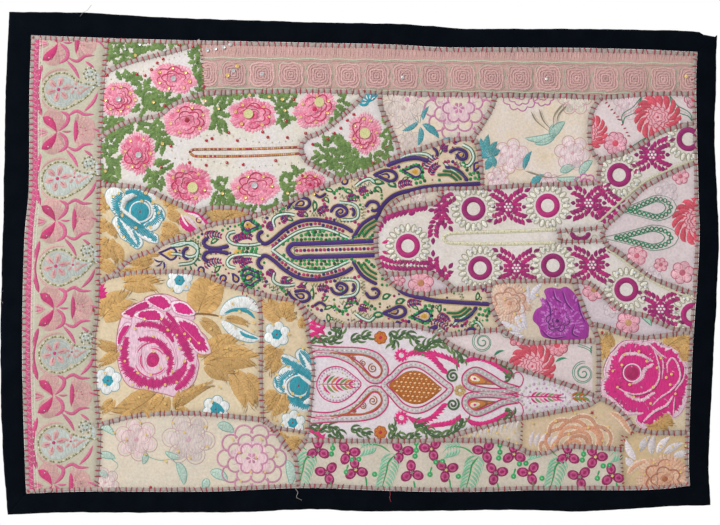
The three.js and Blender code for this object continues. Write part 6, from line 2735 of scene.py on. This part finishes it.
def loose_threads():
    """Ends of sewing thread that stand out from the edges."""
    rings, faces, tints = [], [], []
    for colour, places in LOOSE_THREADS:
        ends = np.array(places, float)
        x, z = curve(ends[:, :2], 1.0).T
        out = np.interp(np.linspace(0, 1, len(x)), np.linspace(0, 1, len(ends)), ends[:, 2])
        spine = np.stack([x, hang(x, z) - BORDER_THICKNESS / 2 - 0.3 - out, z], axis=1)
        count = sum(len(ring) for ring in rings)
        turns = np.linspace(0, 2 * math.pi, THREAD_SIDES, endpoint=False)
        circle = THREAD_RADIUS * np.stack([np.cos(turns), np.sin(turns), 0.6 * np.sin(turns)], axis=1)
        rings.append((spine[:, None] + circle).reshape(-1, 3))
        for first in range(count, count + THREAD_SIDES * (len(x) - 1), THREAD_SIDES):
            for side in range(THREAD_SIDES):
                low, after = first + side, first + (side + 1) % THREAD_SIDES
                faces.append((low, after, after + THREAD_SIDES, low + THREAD_SIDES))
        tints.append(np.tile(np.append(colour, 1.0), (THREAD_SIDES * len(x), 1)))
    points = np.concatenate(rings)
    piece = textile("loose_threads", points / 1000, np.array(faces), MATERIALS["thread"],
                    np.concatenate(tints), points[:, [0, 2]], front=False)
    return piece


# ---- Border and backing ------------------------------------------------------

CORNER_STEP = {"x": 523, "depth": 3.4}      # the side strip ends lower than the top one at this corner
BORDER_FOLD = 34            # of its face, from the outer edge to the crease beside the panel
BORDER_COLUMNS = 11         # points across its face, and as many across its back


def border_face(side, along, across):
    """Places on a strip: along from corner to corner, across from its outer edge to the panel."""
    outer, inner = at_fraction(OUTER[side], along), at_fraction(INNER[side], along)
    return outer + (inner - outer) * across[..., None]


def uneven_face(side, along, across):
    """The same places with the strip's outer edge uneven, and stepped at one corner."""
    places = border_face(side, along, across)
    x, z = np.moveaxis(places, -1, 0)
    wobble = 0.5 * soft_noise(x, z, 45, 8) + 0.22 * soft_noise(x, z, 13, 9)
    outward = border_face(side, along, across * 0) - border_face(side, along, across * 0 + 1)
    outward /= np.hypot(outward[..., 0], outward[..., 1])[..., None]
    places = places + outward * (wobble * (1 - across))[..., None]
    if side == "top":
        notch = np.clip((x - CORNER_STEP["x"]) / 3, 0, 1) * np.clip(1 - across * 1.6, 0, 1)
        places[..., 1] -= CORNER_STEP["depth"] * notch
    return places


def border_depth(x, z, across, is_front):
    """Depth of a strip: its edges are rounded, and its face is drawn in beside the panel."""
    rounded = np.sqrt(np.clip(1 - (2 * across - 1) ** 8, 0, 1))
    creases = 0.35 * soft_noise(x, z, 26, 10) + 0.2 * soft_noise(x, z, 9, 12)
    puff = BORDER_THICKNESS / 2 * rounded + is_front * rounded * (0.5 + creases)
    puff = puff - 0.7 * is_front * np.exp(-(((1 - across) * BORDER_FOLD / 2.5) ** 2))
    return hang(x, z) + np.where(is_front > 0, -puff, BORDER_THICKNESS / 2 * rounded)


def border_strip(side):
    """A cotton strip folded over on itself: soft round edges, a puffed face and a flat back."""
    along = np.linspace(0, 1, 320 if side in ("top", "bottom") else 230)
    face = np.linspace(0, 1, BORDER_COLUMNS)
    s, t = np.meshgrid(along, np.concatenate([face, face[::-1]]), indexing="ij")
    x, z = np.moveaxis(border_face(side, s, t), -1, 0)
    places = uneven_face(side, s, t)
    y = border_depth(x, z, t, np.repeat([1.0, 0.0], BORDER_COLUMNS))
    points = np.stack([places[..., 0], y, places[..., 1]], axis=-1) / 1000
    rows, columns = s.shape
    faces = grid_faces(rows, columns)
    last = np.arange(rows - 1) * columns
    closing = np.stack([last + columns - 1, last + 2 * columns - 1, last + columns, last], axis=1)
    faces = np.concatenate([faces, closing, border_ends(rows, columns)])
    piece = textile(f"border_cloth_{side}", points.reshape(-1, 3), faces, MATERIALS["dark_cotton"],
                    front=False)
    weld(piece)
    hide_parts(f"border_{side}")


def border_ends(rows, columns):
    """Faces that close a strip at its two mitred ends."""
    half = columns // 2
    near = np.arange(half - 1)
    start = np.stack([near, near + 1, columns - 2 - near, columns - 1 - near], axis=1)
    end = start[:, ::-1] + (rows - 1) * columns
    return np.concatenate([start, end])


def weld(piece):
    """Joins points that fall together and turns all faces outwards."""
    mesh = bmesh.new()
    mesh.from_mesh(piece.data)
    bmesh.ops.remove_doubles(mesh, verts=mesh.verts, dist=2e-5)
    bmesh.ops.recalc_face_normals(mesh, faces=mesh.faces)
    mesh.to_mesh(piece.data)
    mesh.free()


def behind(x, z, rise):
    """Points on the back of the panel, in metres. Rises are towards +Y."""
    dip = 0.35 * np.exp(-((sampled(SEAM_DISTANCE, x, z) / 4) ** 2)) + 0.2 * soft_noise(x, z, 60, 21)
    return np.stack([x, hang(x, z) + PANEL_THICKNESS / 2 - dip + rise, z], axis=1) / 1000


def panel_grid(columns, rows):
    """Places spread evenly over the panel, from just inside its four edges."""
    u, v = np.meshgrid(np.linspace(0.0005, 0.9995, columns), np.linspace(0.0007, 0.9993, rows),
                       indexing="ij")
    top, bottom = at_fraction(INNER["top"], u), at_fraction(INNER["bottom"], u)
    left, right = at_fraction(INNER["left"], v), at_fraction(INNER["right"], v)
    u, v = u[..., None], v[..., None]
    corner = {name: np.array(place) for name, place in INNER_CORNERS.items()}
    places = ((1 - v) * top + v * bottom + (1 - u) * left + u * right
              - (1 - u) * (1 - v) * corner["top_left"] - u * (1 - v) * corner["top_right"]
              - (1 - u) * v * corner["bottom_left"] - u * v * corner["bottom_right"])
    return places.reshape(-1, 2)


def backing():
    """The plain cotton that the patches are sewn to, which is the back of the panel."""
    columns, rows = 130, 88
    x, z = panel_grid(columns, rows).T
    face = np.stack([x, hang(x, z) + PANEL_THICKNESS / 2 - BACKING_THICKNESS, z], axis=1) / 1000
    count = len(x)
    faces = grid_faces(columns, rows)
    rim = edge_loop(columns, rows)
    walls = np.stack([rim, np.roll(rim, -1), np.roll(rim, -1) + count, rim + count], axis=1)
    piece = textile("panel_backing", np.concatenate([face, behind(x, z, 0)]),
                    np.concatenate([faces, faces[:, ::-1] + count, walls]),
                    cloth_material("backing_cotton", tint(214, 202, 180), tint(200, 186, 162), 90),
                    front=False)
    weld(piece)
    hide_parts("patchwork_panel")
    return piece


def edge_loop(columns, rows):
    """The numbers of a grid's border points, in order round it."""
    i, j = np.arange(columns), np.arange(rows)
    return np.concatenate([i * rows, (columns - 1) * rows + j[1:], i[-2::-1] * rows + rows - 1,
                           j[-2:0:-1]])


# ---- Camera, light and floor -------------------------------------------------

PICTURE_WIDTH = 1.1061      # metres that the picture spans at the cloth
LENS = 100.0
SENSOR = 36.0
CAMERA_SHIFT = (-0.0005, -0.003, 0.0015)    # metres off the middle of the cloth
FLOOR_DROP = 0.35           # metres from the cloth's lower edge to the floor
FLOOR_WIDE, FLOOR_FRONT, FLOOR_BACK = 2.5, -1.8, 1.2
LIGHT_TARGET = np.array([0, 0, -0.37])
LAMPS = [                   # name, place, size and power
    ("key", (-2.0, -1.7, 1.45), 0.9, 84),
    ("fill", (1.8, -2.6, 0.2), 2.0, 18),
]


def stage_floor():
    material, tree, shader = new_material("floor", Roughness=0.9)
    place = add_node(tree, "ShaderNodeTexCoord").outputs["Object"]
    shade = blended(tree, noise(tree, place, 0.6), with_alpha(tint(238, 238, 238)),
                    with_alpha(tint(244, 244, 244)))
    tree.links.new(shade, shader.inputs["Base Color"])
    height = CAD_BOX[0][2] - FLOOR_DROP
    corners = [(-FLOOR_WIDE, FLOOR_FRONT, height), (FLOOR_WIDE, FLOOR_FRONT, height),
               (FLOOR_WIDE, FLOOR_BACK, height), (-FLOOR_WIDE, FLOOR_BACK, height)]
    mesh = bpy.data.meshes.new("floor")
    mesh.from_pydata(corners, [], [(0, 1, 2, 3)])
    mesh.materials.append(material)
    floor = bpy.data.objects.new("floor", mesh)
    bpy.context.scene.collection.objects.link(floor)


def add_camera():
    low, high = CAD_BOX
    camera = bpy.data.objects.new("camera", bpy.data.cameras.new("camera"))
    camera.data.lens, camera.data.sensor_width = LENS, SENSOR
    distance = PICTURE_WIDTH * LENS / SENSOR
    camera.location = (CAMERA_SHIFT[0], -distance + CAMERA_SHIFT[1],
                       (low[2] + high[2]) / 2 + CAMERA_SHIFT[2])
    camera.rotation_euler = (math.pi / 2, 0, 0)
    bpy.context.scene.collection.objects.link(camera)
    bpy.context.scene.camera = camera


def area_light(name, location, size, power):
    light = bpy.data.objects.new(name, bpy.data.lights.new(name, "AREA"))
    light.data.size, light.data.energy = size, power
    light.location = location
    target = LIGHT_TARGET - np.array(location)
    light.rotation_euler = (
        math.atan2(math.hypot(target[0], target[1]), -target[2]), 0,
        math.atan2(target[1], target[0]) - math.pi / 2)
    bpy.context.scene.collection.objects.link(light)


def add_light():
    """An even white surround, with a large soft lamp at the upper left for relief."""
    world = bpy.data.worlds.new("studio")
    bpy.context.scene.world = world
    world.use_nodes = True
    tree = world.node_tree
    tree.nodes.clear()
    seen, lit = (add_node(tree, "ShaderNodeBackground", {"Color": (1, 1, 1, 1), "Strength": strength})
                 for strength in (1.0, 0.3))
    path = add_node(tree, "ShaderNodeLightPath")
    mix = add_node(tree, "ShaderNodeMixShader", {
        "Fac": path.outputs["Is Camera Ray"], 1: lit.outputs[0], 2: seen.outputs[0]})
    add_node(tree, "ShaderNodeOutputWorld", {"Surface": mix.outputs[0]})
    for lamp in LAMPS:
        area_light(*lamp)
    bpy.context.scene.view_settings.view_transform = "Standard"


MATERIALS = {
    "thread": thread_material("embroidery_thread", 0.55, 0.35),
    "ribbon": ribbon_material(),
    "dark_cotton": dark_cotton_material(),
    "gold": trim_material("gold_sequin", tint(240, 206, 128), 0.3, metallic=0.5),
    "silver": trim_material("silver_sequin", tint(226, 230, 232), 0.22, metallic=0.6),
    "cream": trim_material("cream_sequin", tint(226, 222, 160), 0.25, metallic=0.25, coat=0.6),
    "stone": trim_material("red_stone", tint(176, 8, 32), 0.12, coat=1.0),
    "bead": trim_material("glass_bead", tint(196, 176, 140), 0.2, coat=1.0),
}

add_camera()
add_light()
stage_floor()
back = backing()
for patch in PATCHES:
    ground(patch)
sewn_on = trim_pieces() + seam_ribbons() + [knots()]
for side in SIDE_ENDS:
    sewn_on += edge_ribbon(side)
    border_strip(side)
sewn_on.append(loose_threads())
